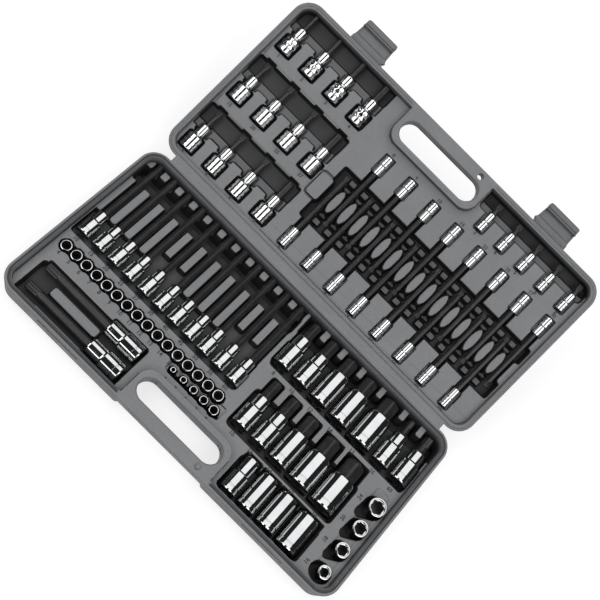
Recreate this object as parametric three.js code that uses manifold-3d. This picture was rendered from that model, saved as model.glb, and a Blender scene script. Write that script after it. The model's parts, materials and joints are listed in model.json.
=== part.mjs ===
// Socket wrench set in a blow-moulded carry case, open on its back.
// Millimetres. +X runs along the hinge, +Z is up, the carry handle is towards -Y.
// The origin is the centre of the flat underside of the base half.
// Inside each half, `d` is the distance out from the hinge fold and `h` the height
// above the parting plane, so everything stored in a tray lies at a negative h.

import * as THREE from 'three';
import { mergeVertices } from 'three/addons/utils/BufferGeometryUtils.js';
import Module from 'manifold-3d';

const wasm = await Module();
wasm.setup();

// ---------------------------------------------------------------- driving dimensions

// Case halves
const CASE_WIDTH = 440;
const HALF_DEPTH = 218;
const BASE_HEIGHT = 36;
const LID_HEIGHT = 24;
const LID_RISE = 25;             // degrees the open lid rises behind the base
const PARTING_GAP = 0.3;         // between the two rims when shut
const BACK_CORNER = 20;
const FRONT_CORNER = 21;
const WALL_DRAFT = 1.5;          // how far the outer wall leans in over its height
const BOTTOM_ROUND = 14;
const LID_TOP_ROUND = 10;
const FOOT_HEIGHT = 1.5;         // pads under the base: four near its corners, one in the middle
const FOOT_LENGTH = 40;
const FOOT_WIDTH = 12;
const FOOT_MARGIN = 1.5;         // from the edge of the flat underside
const FOOT_SIDE_MARGIN = 14;
const FOOT_SIDES = 9;            // of the round middle pad

// Rim round each tray
const RIM_WIDTH = 7;
const RIM_WALL_LEAN = 2;
const TRAY_LEDGE = 0.4;
const BASE_TRAY_DROP = 10;
const LID_TRAY_DROP = 8.5;
const SEAL_INSET = 3.1;
const SEAL_GROOVE_WIDTH = 1.8;
const SEAL_GROOVE_DEPTH = 1.8;
const SEAL_TONGUE_WIDTH = 1;
const SEAL_TONGUE_HEIGHT = 1.1;

// Integral hinge
const HINGE_LEAF = 3.5;          // from each half to the fold line
const HINGE_THICKNESS = 1.4;
const HINGE_BEAD_RADIUS = 0.75;
const HINGE_END_INSET = 23;

// Carry handle
const SLOT_LENGTH = 106.5;
const SLOT_WIDTH = 25;
const HANDLE_BAR = 15;
const HANDLE_HALF_THICKNESS = 16;
const HANDLE_COLLAR = 6.5;       // raised land round the slot, up to the tray
const HANDLE_RELIEF_WIDTH = 112; // shallow part of each half behind the handle
const HANDLE_RELIEF_LEAN = 8;
const HANDLE_BAR_CHAMFER = 4.5;
const PEG_X = 42;
const PEG_RADIUS = 2.7;
const PEG_HEIGHT = 2.4;
const PEG_HOLE_RADIUS = 3.6;

// Latches
const LATCH_SIDE_INSET = 83.5;    // from the side of the case to a latch's middle
const LATCH_WIDTH = 49;
const LATCH_REACH = 27;          // pivot to fingertip edge
const LATCH_PLATE = 2.3;
const LATCH_TAPER = 4;
const LATCH_PIVOT_OUT = 3.2;     // pivot axis beyond the free edge
const LATCH_PIVOT_DEPTH = 11;    // pivot axis below the parting plane
const LATCH_BARREL_RADIUS = 2.6;
const LATCH_PIN_RADIUS = 1.3;
const LATCH_LUG_WIDTH = 3;
const LATCH_HOOK_REACH = 2.8;
const LATCH_HOOK_THICKNESS = 3.2;
const LATCH_HOOK_DROP = 5.2;     // hook's catching face below the parting plane
const CATCH_CLEARANCE = 0.8;

// Clearances round the stored tools
const SEAT_CLEARANCE = 0.35;
const END_CLEARANCE = 1.4;
const TOP_CLEARANCE = 1.2;       // tools stay this far below the parting plane
const FUSE_DEPTH = 0.3;          // how far a fixed tool sinks into its seat

// Tray pockets: depths are below the parting plane
const SHAFT_TROUGH_DEPTH = 15;
const SOCKET_TROUGH_DEPTH = 17;
const FINGER_TROUGH_DEPTH = 24;
const HALF_INCH_TROUGH_DEPTH = 19;
const LID_TROUGH_DEPTH = 19.5;
const UPRIGHT_TROUGH_DEPTH = 22;
const ISLAND_WIDTH = 9;
const TIP_BLOCK_LENGTH = 11;
const FINGER_TROUGH_LENGTH = 21;
const SHORT_ISLAND_CUT = 16;
const DIVIDER_WIDTH = 4.4;
const PEG_ISLAND_LENGTH = 30;
const PEG_ISLAND_WIDTH = 9;

// Tool families. The drive end is the wide end with the square hole.
const LONG_BIT = {
  driveRadius: 8.8, driveLength: 17.6, noseRadius: 6.8, noseLength: 13.2,
  bitLength: 84.5, square: 9.5,
};
const EXTRA_LONG_BIT = {
  driveRadius: 11, driveLength: 22.4, noseRadius: 9.6, noseLength: 18.2,
  bitLength: 84, square: 12.7, bitRadius: 5,
};
const HALF_INCH_BIT = { driveLength: 25, noseLength: 15, bitLength: 22.3, square: 12.7 };
const HEX_BIT = { driveLength: 24, noseLength: 15, bitLength: 23, square: 12.7 };
const STAR_SOCKET = { driveLength: 22, noseLength: 19, square: 12.7 };
const LID_BIT = {
  driveRadius: 9.2, driveLength: 17.8, noseRadius: 7, noseLength: 14.6,
  bitLength: 21, square: 9.5, bitRadius: 3,
};
const THIN_BIT = {
  driveRadius: 6, driveLength: 11.5, noseRadius: 5.4, noseLength: 11.5,
  bitLength: 77, square: 6.35, bitRadius: 2.7, small: true,
};
const SHORT_BIT = {
  driveRadius: 6, driveLength: 11, noseRadius: 5.4, noseLength: 11,
  bitLength: 14, square: 6.35, bitRadius: 2.4, small: true,
};

// How the room left over in a row is shared out: before its first tool, between two, after its last
const LONG_ROW_SHARES = [2.7, 3.15, 0.3];
const HALF_INCH_ROW_SHARES = [0.3, 3.6, 0.8];
const HEX_ROW_SHARES = [0.3, 1, 0.3];
const LID_COLUMN_SHARES = [1, 4, 0.5];
const SHORT_ROW_SHARES = [4, 5, 1.5];
// The same for the room left before each of three rows, from the hinge to the front
const LEFT_STACK_SHARES = [0.02, 0.415, 0.45];
const RIGHT_STACK_SHARES = [0.07, 0.39, 0.345];

// Rows and columns of tools
const EXTRA_LONG_GAP = 4.2;
const EXTRA_LONG_MARGIN = 14;
const HEX_ROW_ROOM = 13.5;
const STAR_ROW_MARGIN = 3.5;
const LARGE_COLUMN_MARGIN = 1.7;
const LARGE_COLUMN_BESIDE = 8;   // wider than its widest socket by this much
const LARGE_COLUMN_START = 12.5;
const LARGE_COLUMN_END = 9;
const COLUMN_LAND = 10;
const LID_DRIVE_MARGIN = 5.7;    // from the rim to the first drive faces
const LID_COLUMN_GAP = 14;
const THIN_BLOCK_MARGIN = 17.9;
const THIN_END_MARGIN = 2;
const THIN_SHORT_GAP = 12.9;     // between the far row's drive faces and those of the short bits
const SHORT_TIP_MARGIN = 3;
const UPRIGHT_TROUGH_ROOM = 2.6;
const UPRIGHT_MINI_STEP = 8;
const LONG_BIT_COUNT = 11;
const LONG_BIT_THIN = 3.1;       // first bit's radius
const LONG_BIT_THICK = 3.8;      // last bit's radius
const HALF_INCH_DRIVES = [11, 11, 12, 12.9, 14.5, 10.8, 11.2];
const HALF_INCH_NOSES = [9.2, 9.4, 12, 12.9, 14.5, 8.6, 9];
const HALF_INCH_BITS = [6.2, 7.2, 8.6, 9.2, 11, 3.9, 5.4];
const HEX_DRIVES = [11, 11, 12.4, 14.2, 15.3];
const HEX_NOSES = [9, 9.4, 12.4, 14.2, 15.3];
const HEX_BITS = [6.2, 7.2, 8.8, 10.6, 12.6];
const STAR_DRIVES = [10.3, 11, 12.2, 13.4];
const STAR_NOSES = [9, 11, 12.2, 13.4];
const STAR_TOP_DROP = 6;         // these lie deeper than the rest
const UPRIGHT_SMALL_COUNT = 16;
const UPRIGHT_SMALL_RADIUS = 5.9;
const UPRIGHT_SMALL_BORE = 4.4;
const UPRIGHT_SMALL_TOP_LEFT = 9.4;
const UPRIGHT_SMALL_TOP_RIGHT = 6.6;
const UPRIGHT_MINI_RADII = [3, 3.6, 4.2, 4.6, 5.1];
const UPRIGHT_MINI_WALL = 1;
const UPRIGHT_MINI_TOP = 8;
const UPRIGHT_LARGE_RADII = [9.7, 8.4, 7.8, 7];
const UPRIGHT_LARGE_WALL = 1.8;
const UPRIGHT_BORE_DEPTH = 7;
const LID_BIT_COLUMNS = 4;
const LID_BIT_ROWS = 3;
const THIN_BIT_COUNT = 16;
const SHORT_BIT_COUNT = 5;

// Roundness
const SOCKET_SIDES = 10;         // even, so that a tool and its seat share their facets
const SMALL_SOCKET_SIDES = 8;
const CORNER_STEPS = 4;
const UPRIGHT_SIDES = 8;
const ROUND_STEPS = 3;

// ---------------------------------------------------------------- derived places

const BASE = -1;                 // the base reaches from the hinge towards -Y
const LID = 1;
const RIM_TOP = -PARTING_GAP / 2;
const HINGE_Y = HINGE_LEAF + HALF_DEPTH / 2;
const TRAY_LEFT = -CASE_WIDTH / 2 + RIM_WIDTH + RIM_WALL_LEAN;
const TRAY_RIGHT = -TRAY_LEFT;
const TRAY_BACK = RIM_WIDTH + RIM_WALL_LEAN / 2;
const TRAY_FRONT = HALF_DEPTH - RIM_WIDTH;
const LATCH_X = CASE_WIDTH / 2 - LATCH_SIDE_INSET;
const SLOT_FRONT = HALF_DEPTH - HANDLE_BAR;
const SLOT_BACK = SLOT_FRONT - SLOT_WIDTH;
const ABOVE = 4;                 // cutters run this far above the parting plane

const overall = (tool) => tool.driveLength + tool.noseLength + (tool.bitLength || 0);
const sum = (list) => list.reduce((total, value) => total + value, 0);

/** Centres of items of the given widths. The room left is shared out over the gaps, ends included. */
function spread(from, to, widths, shares = Array(widths.length + 1).fill(1)) {
  const unit = (to - from - sum(widths)) / sum(shares);
  let edge = from;
  return widths.map((width, i) => {
    const centre = edge + unit * shares[i] + width / 2;
    edge = centre + width / 2;
    return centre;
  });
}

/** Gap shares for a row: one at the start, the same between all its items, one at the end. */
const rowShares = (count, start, between, end) => [start, ...Array(count - 1).fill(between), end];

/** Starts of items of the given lengths, where each gap before an item is its share of the room left. */
function stack(from, to, lengths, shares) {
  const room = to - from - sum(lengths);
  let edge = from;
  return lengths.map((length, i) => {
    const start = edge + room * shares[i];
    edge = start + length;
    return start;
  });
}

// ---------------------------------------------------------------- solids

/** A closed three.js geometry as a solid that can be joined and cut. */
function solid(geometry) {
  const plain = new THREE.BufferGeometry();
  plain.setAttribute('position', geometry.getAttribute('position').clone());
  plain.setIndex(geometry.getIndex() ? geometry.getIndex().clone() : null);
  const merged = mergeVertices(plain, 1e-4);
  const vertProperties = new Float32Array(merged.getAttribute('position').array);
  const all = merged.getIndex().array;
  const kept = [];
  for (let i = 0; i < all.length; i += 3) {
    const [a, b, c] = [all[i], all[i + 1], all[i + 2]];
    if (a !== b && b !== c && c !== a) kept.push(a, b, c);
  }
  return new wasm.Manifold(new wasm.Mesh({ numProp: 3, vertProperties, triVerts: new Uint32Array(kept) }));
}

/** A solid back as a three.js geometry. */
function geometryOf(manifold) {
  const mesh = manifold.getMesh();
  const geometry = new THREE.BufferGeometry();
  geometry.setAttribute('position', new THREE.BufferAttribute(new Float32Array(mesh.vertProperties), 3));
  geometry.setIndex(new THREE.BufferAttribute(new Uint32Array(mesh.triVerts), 1));
  geometry.computeVertexNormals();
  return geometry;
}

const joined = (solids) => solids.reduce((all, one) => all.add(one));

/** An upright prism of an outline in the XY plane. */
function prism(shape, low, high, curveSegments = 4) {
  const settings = { depth: high - low, bevelEnabled: false, curveSegments };
  return solid(new THREE.ExtrudeGeometry(shape, settings).translate(0, 0, low));
}

/** A closed skin through rings with equal numbers of points, from the lowest ring up. */
function loft(rings) {
  const flat = rings[0].map((point) => new THREE.Vector2(point.x, point.y));
  if (THREE.ShapeUtils.isClockWise(flat)) return loft(rings.map((ring) => [...ring].reverse()));
  const count = flat.length;
  const index = [];
  for (let r = 0; r + 1 < rings.length; r += 1) {
    for (let i = 0; i < count; i += 1) {
      const j = (i + 1) % count;
      const [a, b, c, d] = [r * count + i, r * count + j, (r + 1) * count + j, (r + 1) * count + i];
      index.push(a, b, c, a, c, d);
    }
  }
  const top = (rings.length - 1) * count;
  for (const [a, b, c] of THREE.ShapeUtils.triangulateShape(flat, [])) {
    index.push(a, c, b, top + a, top + b, top + c);
  }
  const geometry = new THREE.BufferGeometry().setFromPoints(rings.flat());
  geometry.setIndex(index);
  return solid(geometry);
}

/** A rounded rectangle as a shape; corner radii in order low-low, high-low, high-high, low-high. */
function roundedRectangle(x0, x1, y0, y1, radii) {
  const [a, b, c, d] = Array.isArray(radii) ? radii : [radii, radii, radii, radii];
  const shape = new THREE.Shape();
  shape.absarc(x1 - b, y0 + b, b, -Math.PI / 2, 0, false);
  shape.absarc(x1 - c, y1 - c, c, 0, Math.PI / 2, false);
  shape.absarc(x0 + d, y1 - d, d, Math.PI / 2, Math.PI, false);
  shape.absarc(x0 + a, y0 + a, a, Math.PI, 1.5 * Math.PI, false);
  return shape;
}

/** A pocket cutter over x and d of one half, from `floor` up past the rim. */
function pocket(side, x0, x1, d0, d1, floor, radius = 2.5) {
  const [y0, y1] = [side * (HINGE_LEAF + d0), side * (HINGE_LEAF + d1)].sort((a, b) => a - b);
  return prism(roundedRectangle(x0, x1, y0, y1, radius), floor, ABOVE, 1);
}

/** A box over x and d of one half. */
function block(side, x0, x1, d0, d1, low, high) {
  const box = new THREE.BoxGeometry(x1 - x0, d1 - d0, high - low);
  return solid(box.translate((x0 + x1) / 2, side * (HINGE_LEAF + (d0 + d1) / 2), (low + high) / 2));
}

/** An upright round bar or hole at x, d of one half. */
function post(side, x, d, radius, low, high, sides = SOCKET_SIDES) {
  const bar = new THREE.CylinderGeometry(radius, radius, high - low, sides).rotateX(Math.PI / 2);
  return solid(bar.translate(x, side * (HINGE_LEAF + d), (low + high) / 2));
}

// ---------------------------------------------------------------- tools

const sidesOf = (tool) => (tool.small ? SMALL_SOCKET_SIDES : SOCKET_SIDES);

/**
 * A socket, with or without a driver bit, along +Y from its drive face at the origin.
 * The drive end is wide and chamfered, the nose is often narrower, and the bit is hexagonal.
 */
function toolSolid(tool) {
  const chamfer = tool.driveRadius * 0.14;
  const shoulder = tool.driveLength + Math.max(0.6, (tool.driveRadius - tool.noseRadius) * 0.7);
  const nose = tool.driveLength + tool.noseLength;
  const profile = [
    [0, 0], [tool.driveRadius - chamfer, 0], [tool.driveRadius, chamfer],
    [tool.driveRadius, tool.driveLength], [tool.noseRadius, shoulder], [tool.noseRadius, nose], [0, nose],
  ];
  if (tool.driveRadius === tool.noseRadius) profile.splice(3, 2);
  const points = profile.map(([radius, along]) => new THREE.Vector2(radius, along));
  const body = solid(new THREE.LatheGeometry(points, sidesOf(tool), Math.PI / 2));
  const depth = tool.driveLength * 0.6;
  const square = solid(new THREE.BoxGeometry(tool.square, depth * 2, tool.square));
  const hollow = body.subtract(square);
  if (tool.bitRadius) {
    const root = 1;
    const bit = new THREE.CylinderGeometry(tool.bitRadius, tool.bitRadius, tool.bitLength + root, 6);
    bit.rotateY(Math.PI / 6).translate(0, nose - root + (tool.bitLength + root) / 2, 0);
    return hollow.add(solid(bit));
  }
  const across = tool.noseRadius * 0.72;
  const opening = new THREE.CylinderGeometry(across, across, tool.noseLength, 6);
  return hollow.subtract(solid(opening.translate(0, nose, 0)));
}

/** A round-bottomed channel along +Y, open upwards, for a tool lying at height `axis`. */
function channel(from, to, radius, axis, clearance, sides = SOCKET_SIDES) {
  const reach = radius + clearance;
  const shape = new THREE.Shape();
  shape.moveTo(reach, ABOVE - axis);
  shape.lineTo(-reach, ABOVE - axis);
  shape.absarc(0, 0, reach, Math.PI, 2 * Math.PI, false);
  const settings = { depth: to - from, bevelEnabled: false, curveSegments: sides / 2 };
  return new THREE.ExtrudeGeometry(shape, settings).rotateX(Math.PI / 2).translate(0, to, 0);
}

const placement = (tool) => new THREE.Matrix4()
  .makeRotationZ(tool.turn)
  .setPosition(tool.x, tool.side * (HINGE_LEAF + tool.d), tool.axis);

/** What a lying tool's drive end and nose need cut from the tray. */
function seat(tool) {
  const nose = tool.driveLength + tool.noseLength;
  const step = tool.noseRadius < tool.driveRadius ? tool.driveLength : nose;
  const place = placement(tool);
  const sides = sidesOf(tool);
  const shaped = [tool.axis, SEAT_CLEARANCE, sides];
  const wide = channel(-END_CLEARANCE, step + END_CLEARANCE, tool.driveRadius, ...shaped);
  if (step === nose) return solid(wide.applyMatrix4(place));
  const narrow = channel(step, nose + END_CLEARANCE, tool.noseRadius, ...shaped);
  return solid(wide.applyMatrix4(place)).add(solid(narrow.applyMatrix4(place)));
}

/** A square-walled seat for a tool that stays fixed: it sinks a little into the floor. */
function fixedSeat(tool) {
  const half = tool.driveRadius + SEAT_CLEARANCE;
  const direction = Math.cos(tool.turn);
  const nose = tool.driveLength + tool.noseLength;
  const [d0, d1] = [-END_CLEARANCE, nose + END_CLEARANCE].map((along) => tool.d + direction * along);
  const floor = tool.axis - tool.driveRadius + FUSE_DEPTH;
  return block(tool.side, tool.x - half, tool.x + half, Math.min(d0, d1), Math.max(d0, d1), floor, ABOVE);
}

/** An upright socket in a trough, seen end-on, with its bore open at the top. */
function uprightSolid(side, x, d, radius, bore, top) {
  const body = post(side, x, d, radius, -UPRIGHT_TROUGH_DEPTH - FUSE_DEPTH, -top, UPRIGHT_SIDES);
  return body.subtract(post(side, x, d, bore, -top - UPRIGHT_BORE_DEPTH, ABOVE, 6));
}

// ---------------------------------------------------------------- where the tools lie

const PLAIN_ROOM = TRAY_FRONT - TRAY_BACK;
const EXTRA_LONG_WIDTH = 4 * EXTRA_LONG_BIT.driveRadius + EXTRA_LONG_GAP;
const UPRIGHT_TROUGH_WIDTH = 2 * UPRIGHT_SMALL_RADIUS + UPRIGHT_TROUGH_ROOM;
const [LONG_BIT_TIP, UPRIGHT_BACK, EXTRA_LONG_BACK] = stack(
  TRAY_BACK, TRAY_BACK + PLAIN_ROOM,
  [overall(LONG_BIT), UPRIGHT_TROUGH_WIDTH, EXTRA_LONG_WIDTH], LEFT_STACK_SHARES,
);
const [HALF_INCH_TIP, HEX_TIP, STAR_TIP] = stack(
  TRAY_BACK, TRAY_BACK + PLAIN_ROOM,
  [overall(HALF_INCH_BIT), overall(HEX_BIT), overall(STAR_SOCKET)], RIGHT_STACK_SHARES,
);

const diameters = (radii) => radii.map((radius) => 2 * radius);
const firstRowWidths = [
  ...Array(LONG_BIT_COUNT).fill(2 * LONG_BIT.driveRadius),
  DIVIDER_WIDTH,
  ...diameters(HALF_INCH_DRIVES),
];
const firstRow = spread(TRAY_LEFT, TRAY_RIGHT, firstRowWidths, [
  ...rowShares(LONG_BIT_COUNT, ...LONG_ROW_SHARES),
  ...rowShares(HALF_INCH_DRIVES.length, ...HALF_INCH_ROW_SHARES),
]);
const longBitXs = firstRow.slice(0, LONG_BIT_COUNT);
const dividerX = firstRow[LONG_BIT_COUNT];
const halfInchXs = firstRow.slice(LONG_BIT_COUNT + 1);
const longBitPitch = longBitXs[1] - longBitXs[0];
const LEFT_BLOCK_END = dividerX - DIVIDER_WIDTH / 2;

const LARGE_COLUMN_WIDTH = 2 * UPRIGHT_LARGE_RADII[0] + LARGE_COLUMN_BESIDE;
const LARGE_COLUMN_X = TRAY_RIGHT - UPRIGHT_LARGE_RADII[0] - LARGE_COLUMN_MARGIN;
const HEX_RIGHT = TRAY_RIGHT - LARGE_COLUMN_WIDTH - COLUMN_LAND;
const HEX_LEFT = HEX_RIGHT - sum(diameters(HEX_DRIVES)) - HEX_ROW_ROOM;
const hexShares = rowShares(HEX_DRIVES.length, ...HEX_ROW_SHARES);
const hexXs = spread(HEX_LEFT, HEX_RIGHT, diameters(HEX_DRIVES), hexShares);
const LAND_RIGHT = SLOT_LENGTH / 2 + HANDLE_COLLAR;
const STAR_LEFT = LAND_RIGHT + RIM_WALL_LEAN + STAR_ROW_MARGIN;
const starXs = spread(STAR_LEFT, HEX_RIGHT, diameters(STAR_DRIVES));

const axisFor = (radius) => -TOP_CLEARANCE - radius;

/** One lying tool's own sizes and its place. */
function lying(name, side, family, x, d, turn, extra = {}) {
  const sizes = { ...family, ...extra };
  return { name, side, x, d, turn, axis: axisFor(sizes.driveRadius), ...sizes };
}

const two = (number) => String(number).padStart(2, '0');

const longBits = longBitXs.map((x, i) => {
  const share = i / Math.max(1, LONG_BIT_COUNT - 1);
  const bitRadius = LONG_BIT_THIN + (LONG_BIT_THICK - LONG_BIT_THIN) * share;
  const d = LONG_BIT_TIP + overall(LONG_BIT);
  return lying(`long_bit_socket_${two(i + 1)}`, BASE, LONG_BIT, x, d, 0, { bitRadius });
});

const halfInchBits = halfInchXs.map((x, i) => lying(
  `half_inch_bit_socket_${i + 1}`, BASE, HALF_INCH_BIT, x, HALF_INCH_TIP + overall(HALF_INCH_BIT), 0,
  { driveRadius: HALF_INCH_DRIVES[i], noseRadius: HALF_INCH_NOSES[i], bitRadius: HALF_INCH_BITS[i] },
));

const hexBits = hexXs.map((x, i) => lying(
  `hex_bit_socket_${i + 1}`, BASE, HEX_BIT, x, HEX_TIP + overall(HEX_BIT), 0,
  { driveRadius: HEX_DRIVES[i], noseRadius: HEX_NOSES[i], bitRadius: HEX_BITS[i] },
));

const starSockets = starXs.map((x, i) => ({
  ...lying(
    `star_socket_${i + 1}`, BASE, STAR_SOCKET, x, STAR_TIP + overall(STAR_SOCKET), 0,
    { driveRadius: STAR_DRIVES[i], noseRadius: STAR_NOSES[i] },
  ),
  axis: -STAR_TOP_DROP - STAR_DRIVES[i],
}));

const EXTRA_LONG_DRIVE_X = TRAY_LEFT + EXTRA_LONG_MARGIN + overall(EXTRA_LONG_BIT);
const extraLongPitch = 2 * EXTRA_LONG_BIT.driveRadius + EXTRA_LONG_GAP;
const extraLongBits = [0, 1].map((i) => {
  const d = EXTRA_LONG_BACK + EXTRA_LONG_BIT.driveRadius + extraLongPitch * i;
  return lying(`extra_long_bit_socket_${i + 1}`, BASE, EXTRA_LONG_BIT, EXTRA_LONG_DRIVE_X, d, Math.PI / 2);
});

// Lid: a block of three rows of four on the left, thin bits from both sides on the right
const LID_FRONT = TRAY_FRONT;
const LID_FIRST_DRIVE = RIM_WIDTH + LID_DRIVE_MARGIN;
const lidRowPitch = (LID_FRONT - END_CLEARANCE - LID_FIRST_DRIVE - overall(LID_BIT)) / (LID_BIT_ROWS - 1);
const LID_BLOCK_RIGHT = TRAY_LEFT + LID_BIT_COLUMNS * (2 * LID_BIT.driveRadius + LID_COLUMN_GAP);
const lidColumns = spread(
  TRAY_LEFT, LID_BLOCK_RIGHT, Array(LID_BIT_COLUMNS).fill(2 * LID_BIT.driveRadius),
  rowShares(LID_BIT_COLUMNS, ...LID_COLUMN_SHARES),
);
const lidBits = [];
for (let row = 0; row < LID_BIT_ROWS; row += 1) {
  for (let column = 0; column < LID_BIT_COLUMNS; column += 1) {
    const d = LID_FIRST_DRIVE + lidRowPitch * row;
    const name = `lid_bit_socket_${two(row * LID_BIT_COLUMNS + column + 1)}`;
    lidBits.push(lying(name, LID, LID_BIT, lidColumns[column], d, 0));
  }
}

const THIN_AXIS = -LID_TRAY_DROP;
const THIN_LEFT = LID_BLOCK_RIGHT + THIN_BLOCK_MARGIN;
const thinPitch = (TRAY_RIGHT - THIN_END_MARGIN - THIN_LEFT) / THIN_BIT_COUNT;
const thinXs = Array.from({ length: THIN_BIT_COUNT }, (_, i) => THIN_LEFT + thinPitch * (i + 0.5));
const THIN_HINGE_DRIVE = LID_FIRST_DRIVE;
const SHORT_DRIVE = LID_FRONT - END_CLEARANCE - SHORT_TIP_MARGIN - overall(SHORT_BIT);
const THIN_FAR_DRIVE = SHORT_DRIVE - THIN_SHORT_GAP;
const thinBit = (name, i, d, turn) => (
  { ...lying(name, LID, THIN_BIT, thinXs[i], d, turn), axis: THIN_AXIS }
);
const thinFromHinge = [];
const thinFromFar = [];
for (let i = 0; i < THIN_BIT_COUNT; i += 1) {
  const order = Math.floor(i / 2) + 1;
  if (i % 2 === 0) thinFromHinge.push(thinBit(`thin_bit_hinge_side_${order}`, i, THIN_HINGE_DRIVE, 0));
  else thinFromFar.push(thinBit(`thin_bit_socket_${order}`, i, THIN_FAR_DRIVE, Math.PI));
}

const shortXs = spread(
  LAND_RIGHT, TRAY_RIGHT, Array(SHORT_BIT_COUNT).fill(2 * SHORT_BIT.driveRadius),
  rowShares(SHORT_BIT_COUNT, ...SHORT_ROW_SHARES),
);
const shortBits = shortXs.map((x, i) => ({
  ...lying(`short_bit_socket_${i + 1}`, LID, SHORT_BIT, x, SHORT_DRIVE, 0), axis: THIN_AXIS,
}));

// ---------------------------------------------------------------- case halves

/** Points round one half's outline, `inset` in from its edge, at height h. */
function outlineRing(side, inset, h) {
  const half = CASE_WIDTH / 2 - inset;
  const [near, far] = [inset, HALF_DEPTH - inset];
  const back = Math.max(1, BACK_CORNER - inset);
  const front = Math.max(1, FRONT_CORNER - inset);
  const corners = [
    [half - front, far - front, front, 0], [-half + front, far - front, front, 1],
    [-half + back, near + back, back, 2], [half - back, near + back, back, 3],
  ];
  return corners.flatMap(([x, d, radius, quarter]) => Array.from({ length: CORNER_STEPS + 1 }, (_, i) => {
    const angle = (quarter + i / CORNER_STEPS) * Math.PI / 2;
    const [px, pd] = [x + radius * Math.cos(angle), d + radius * Math.sin(angle)];
    return new THREE.Vector3(px, side * (HINGE_LEAF + pd), h);
  }));
}

/** The outer body of a half: a leaning wall that rounds over into a flat face. */
function shellSolid(side, height, round) {
  const rings = [outlineRing(side, 0, RIM_TOP)];
  for (let i = 0; i <= ROUND_STEPS; i += 1) {
    const angle = (i / ROUND_STEPS) * Math.PI / 2;
    const inset = WALL_DRAFT + round * (1 - Math.cos(angle));
    rings.push(outlineRing(side, inset, -(height - round) - round * Math.sin(angle)));
  }
  return loft(rings.reverse());
}

/** The room that pockets may fill: it follows the outline, so that corner pockets keep a wall. */
function trayRoom(side) {
  const inset = RIM_WIDTH + RIM_WALL_LEAN + TRAY_LEDGE;
  return loft([outlineRing(side, inset, -BASE_HEIGHT), outlineRing(side, inset, ABOVE)]);
}

/** Takes the shell back behind the handle, so that the handle is slimmer than the case. */
function handleRelief(side, height) {
  const depth = height - HANDLE_HALF_THICKNESS;
  const back = SLOT_BACK - HANDLE_COLLAR;
  const ring = (grow, h) => {
    const half = HANDLE_RELIEF_WIDTH / 2 + grow;
    const [d0, d1] = [back - grow, HALF_DEPTH + 5];
    return [[-half, d0], [half, d0], [half, d1], [-half, d1]]
      .map(([x, d]) => new THREE.Vector3(x, side * (HINGE_LEAF + d), h));
  };
  const lean = HANDLE_RELIEF_LEAN * depth / (BASE_HEIGHT - HANDLE_HALF_THICKNESS);
  return loft([ring(lean, -height - 1), ring(0, -HANDLE_HALF_THICKNESS)]);
}

/** Bevels the two lower edges of the handle bar. */
function handleBevel(side) {
  const half = HANDLE_RELIEF_WIDTH / 2;
  const chamfer = HANDLE_BAR_CHAMFER;
  const edges = [[HALF_DEPTH, 1], [SLOT_FRONT, -1]];
  return joined(edges.map(([edge, out]) => {
    const section = new THREE.Shape([
      new THREE.Vector2(side * (HINGE_LEAF + edge + out * 3), -HANDLE_HALF_THICKNESS + chamfer + 3),
      new THREE.Vector2(side * (HINGE_LEAF + edge + out * 3), -HANDLE_HALF_THICKNESS - 3),
      new THREE.Vector2(side * (HINGE_LEAF + edge - out * (chamfer + 3)), -HANDLE_HALF_THICKNESS - 3),
    ]);
    const bar = new THREE.ExtrudeGeometry(section, { depth: 2 * half, bevelEnabled: false });
    return solid(bar.rotateX(Math.PI / 2).rotateZ(Math.PI / 2).translate(-half, 0, 0));
  }));
}

/** The tray recess inside the rim, which stops short of the land round the handle slot. */
function trayRecess(side, drop) {
  const rings = [[RIM_WALL_LEAN, -drop], [0, ABOVE]].map(([lean, h]) => {
    const inset = RIM_WIDTH + lean;
    return outlineRing(side, inset, h);
  });
  const land = (grow, h) => {
    const half = LAND_RIGHT + grow;
    const corner = 14 + grow;
    const near = SLOT_BACK - HANDLE_COLLAR - grow;
    const arcs = [[half - corner, 0], [-half + corner, 1]];
    const round = arcs.flatMap(([x, quarter]) => Array.from({ length: CORNER_STEPS + 1 }, (_, i) => {
      const angle = -Math.PI * (quarter + i / CORNER_STEPS) / 2;
      return [x + corner * Math.cos(angle), near + corner + corner * Math.sin(angle)];
    }));
    const far = [[-half, HALF_DEPTH + 1], [half, HALF_DEPTH + 1]];
    return [...round, ...far].map(([x, d]) => new THREE.Vector3(x, side * (HINGE_LEAF + d), h));
  };
  const raised = loft([land(RIM_WALL_LEAN, -drop - 1), land(0, ABOVE + 1)]);
  return loft(rings).subtract(raised);
}

/** A band that follows the rim, for the seal's groove or tongue. */
function rimBand(side, inset, width, low, high) {
  const outer = loft([outlineRing(side, inset, low), outlineRing(side, inset, high)]);
  const inner = loft([outlineRing(side, inset + width, low - 1), outlineRing(side, inset + width, high + 1)]);
  return outer.subtract(inner);
}

function handleSlot(side) {
  const [y0, y1] = [side * (HINGE_LEAF + SLOT_BACK), side * (HINGE_LEAF + SLOT_FRONT)].sort((a, b) => a - b);
  const radius = SLOT_WIDTH / 2 - 0.01;
  const outline = roundedRectangle(-SLOT_LENGTH / 2, SLOT_LENGTH / 2, y0, y1, radius);
  return prism(outline, -BASE_HEIGHT - 1, ABOVE, 5);
}

/** The thin leaf that runs from a half to the fold. */
function hingeLeaf(side) {
  const half = CASE_WIDTH / 2 - HINGE_END_INSET;
  const gap = HINGE_BEAD_RADIUS + 0.35;
  const box = new THREE.BoxGeometry(2 * half, HINGE_LEAF + 3 - gap, HINGE_THICKNESS);
  return solid(box.translate(0, side * (gap + HINGE_LEAF + 3) / 2, RIM_TOP - HINGE_THICKNESS / 2));
}

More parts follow.
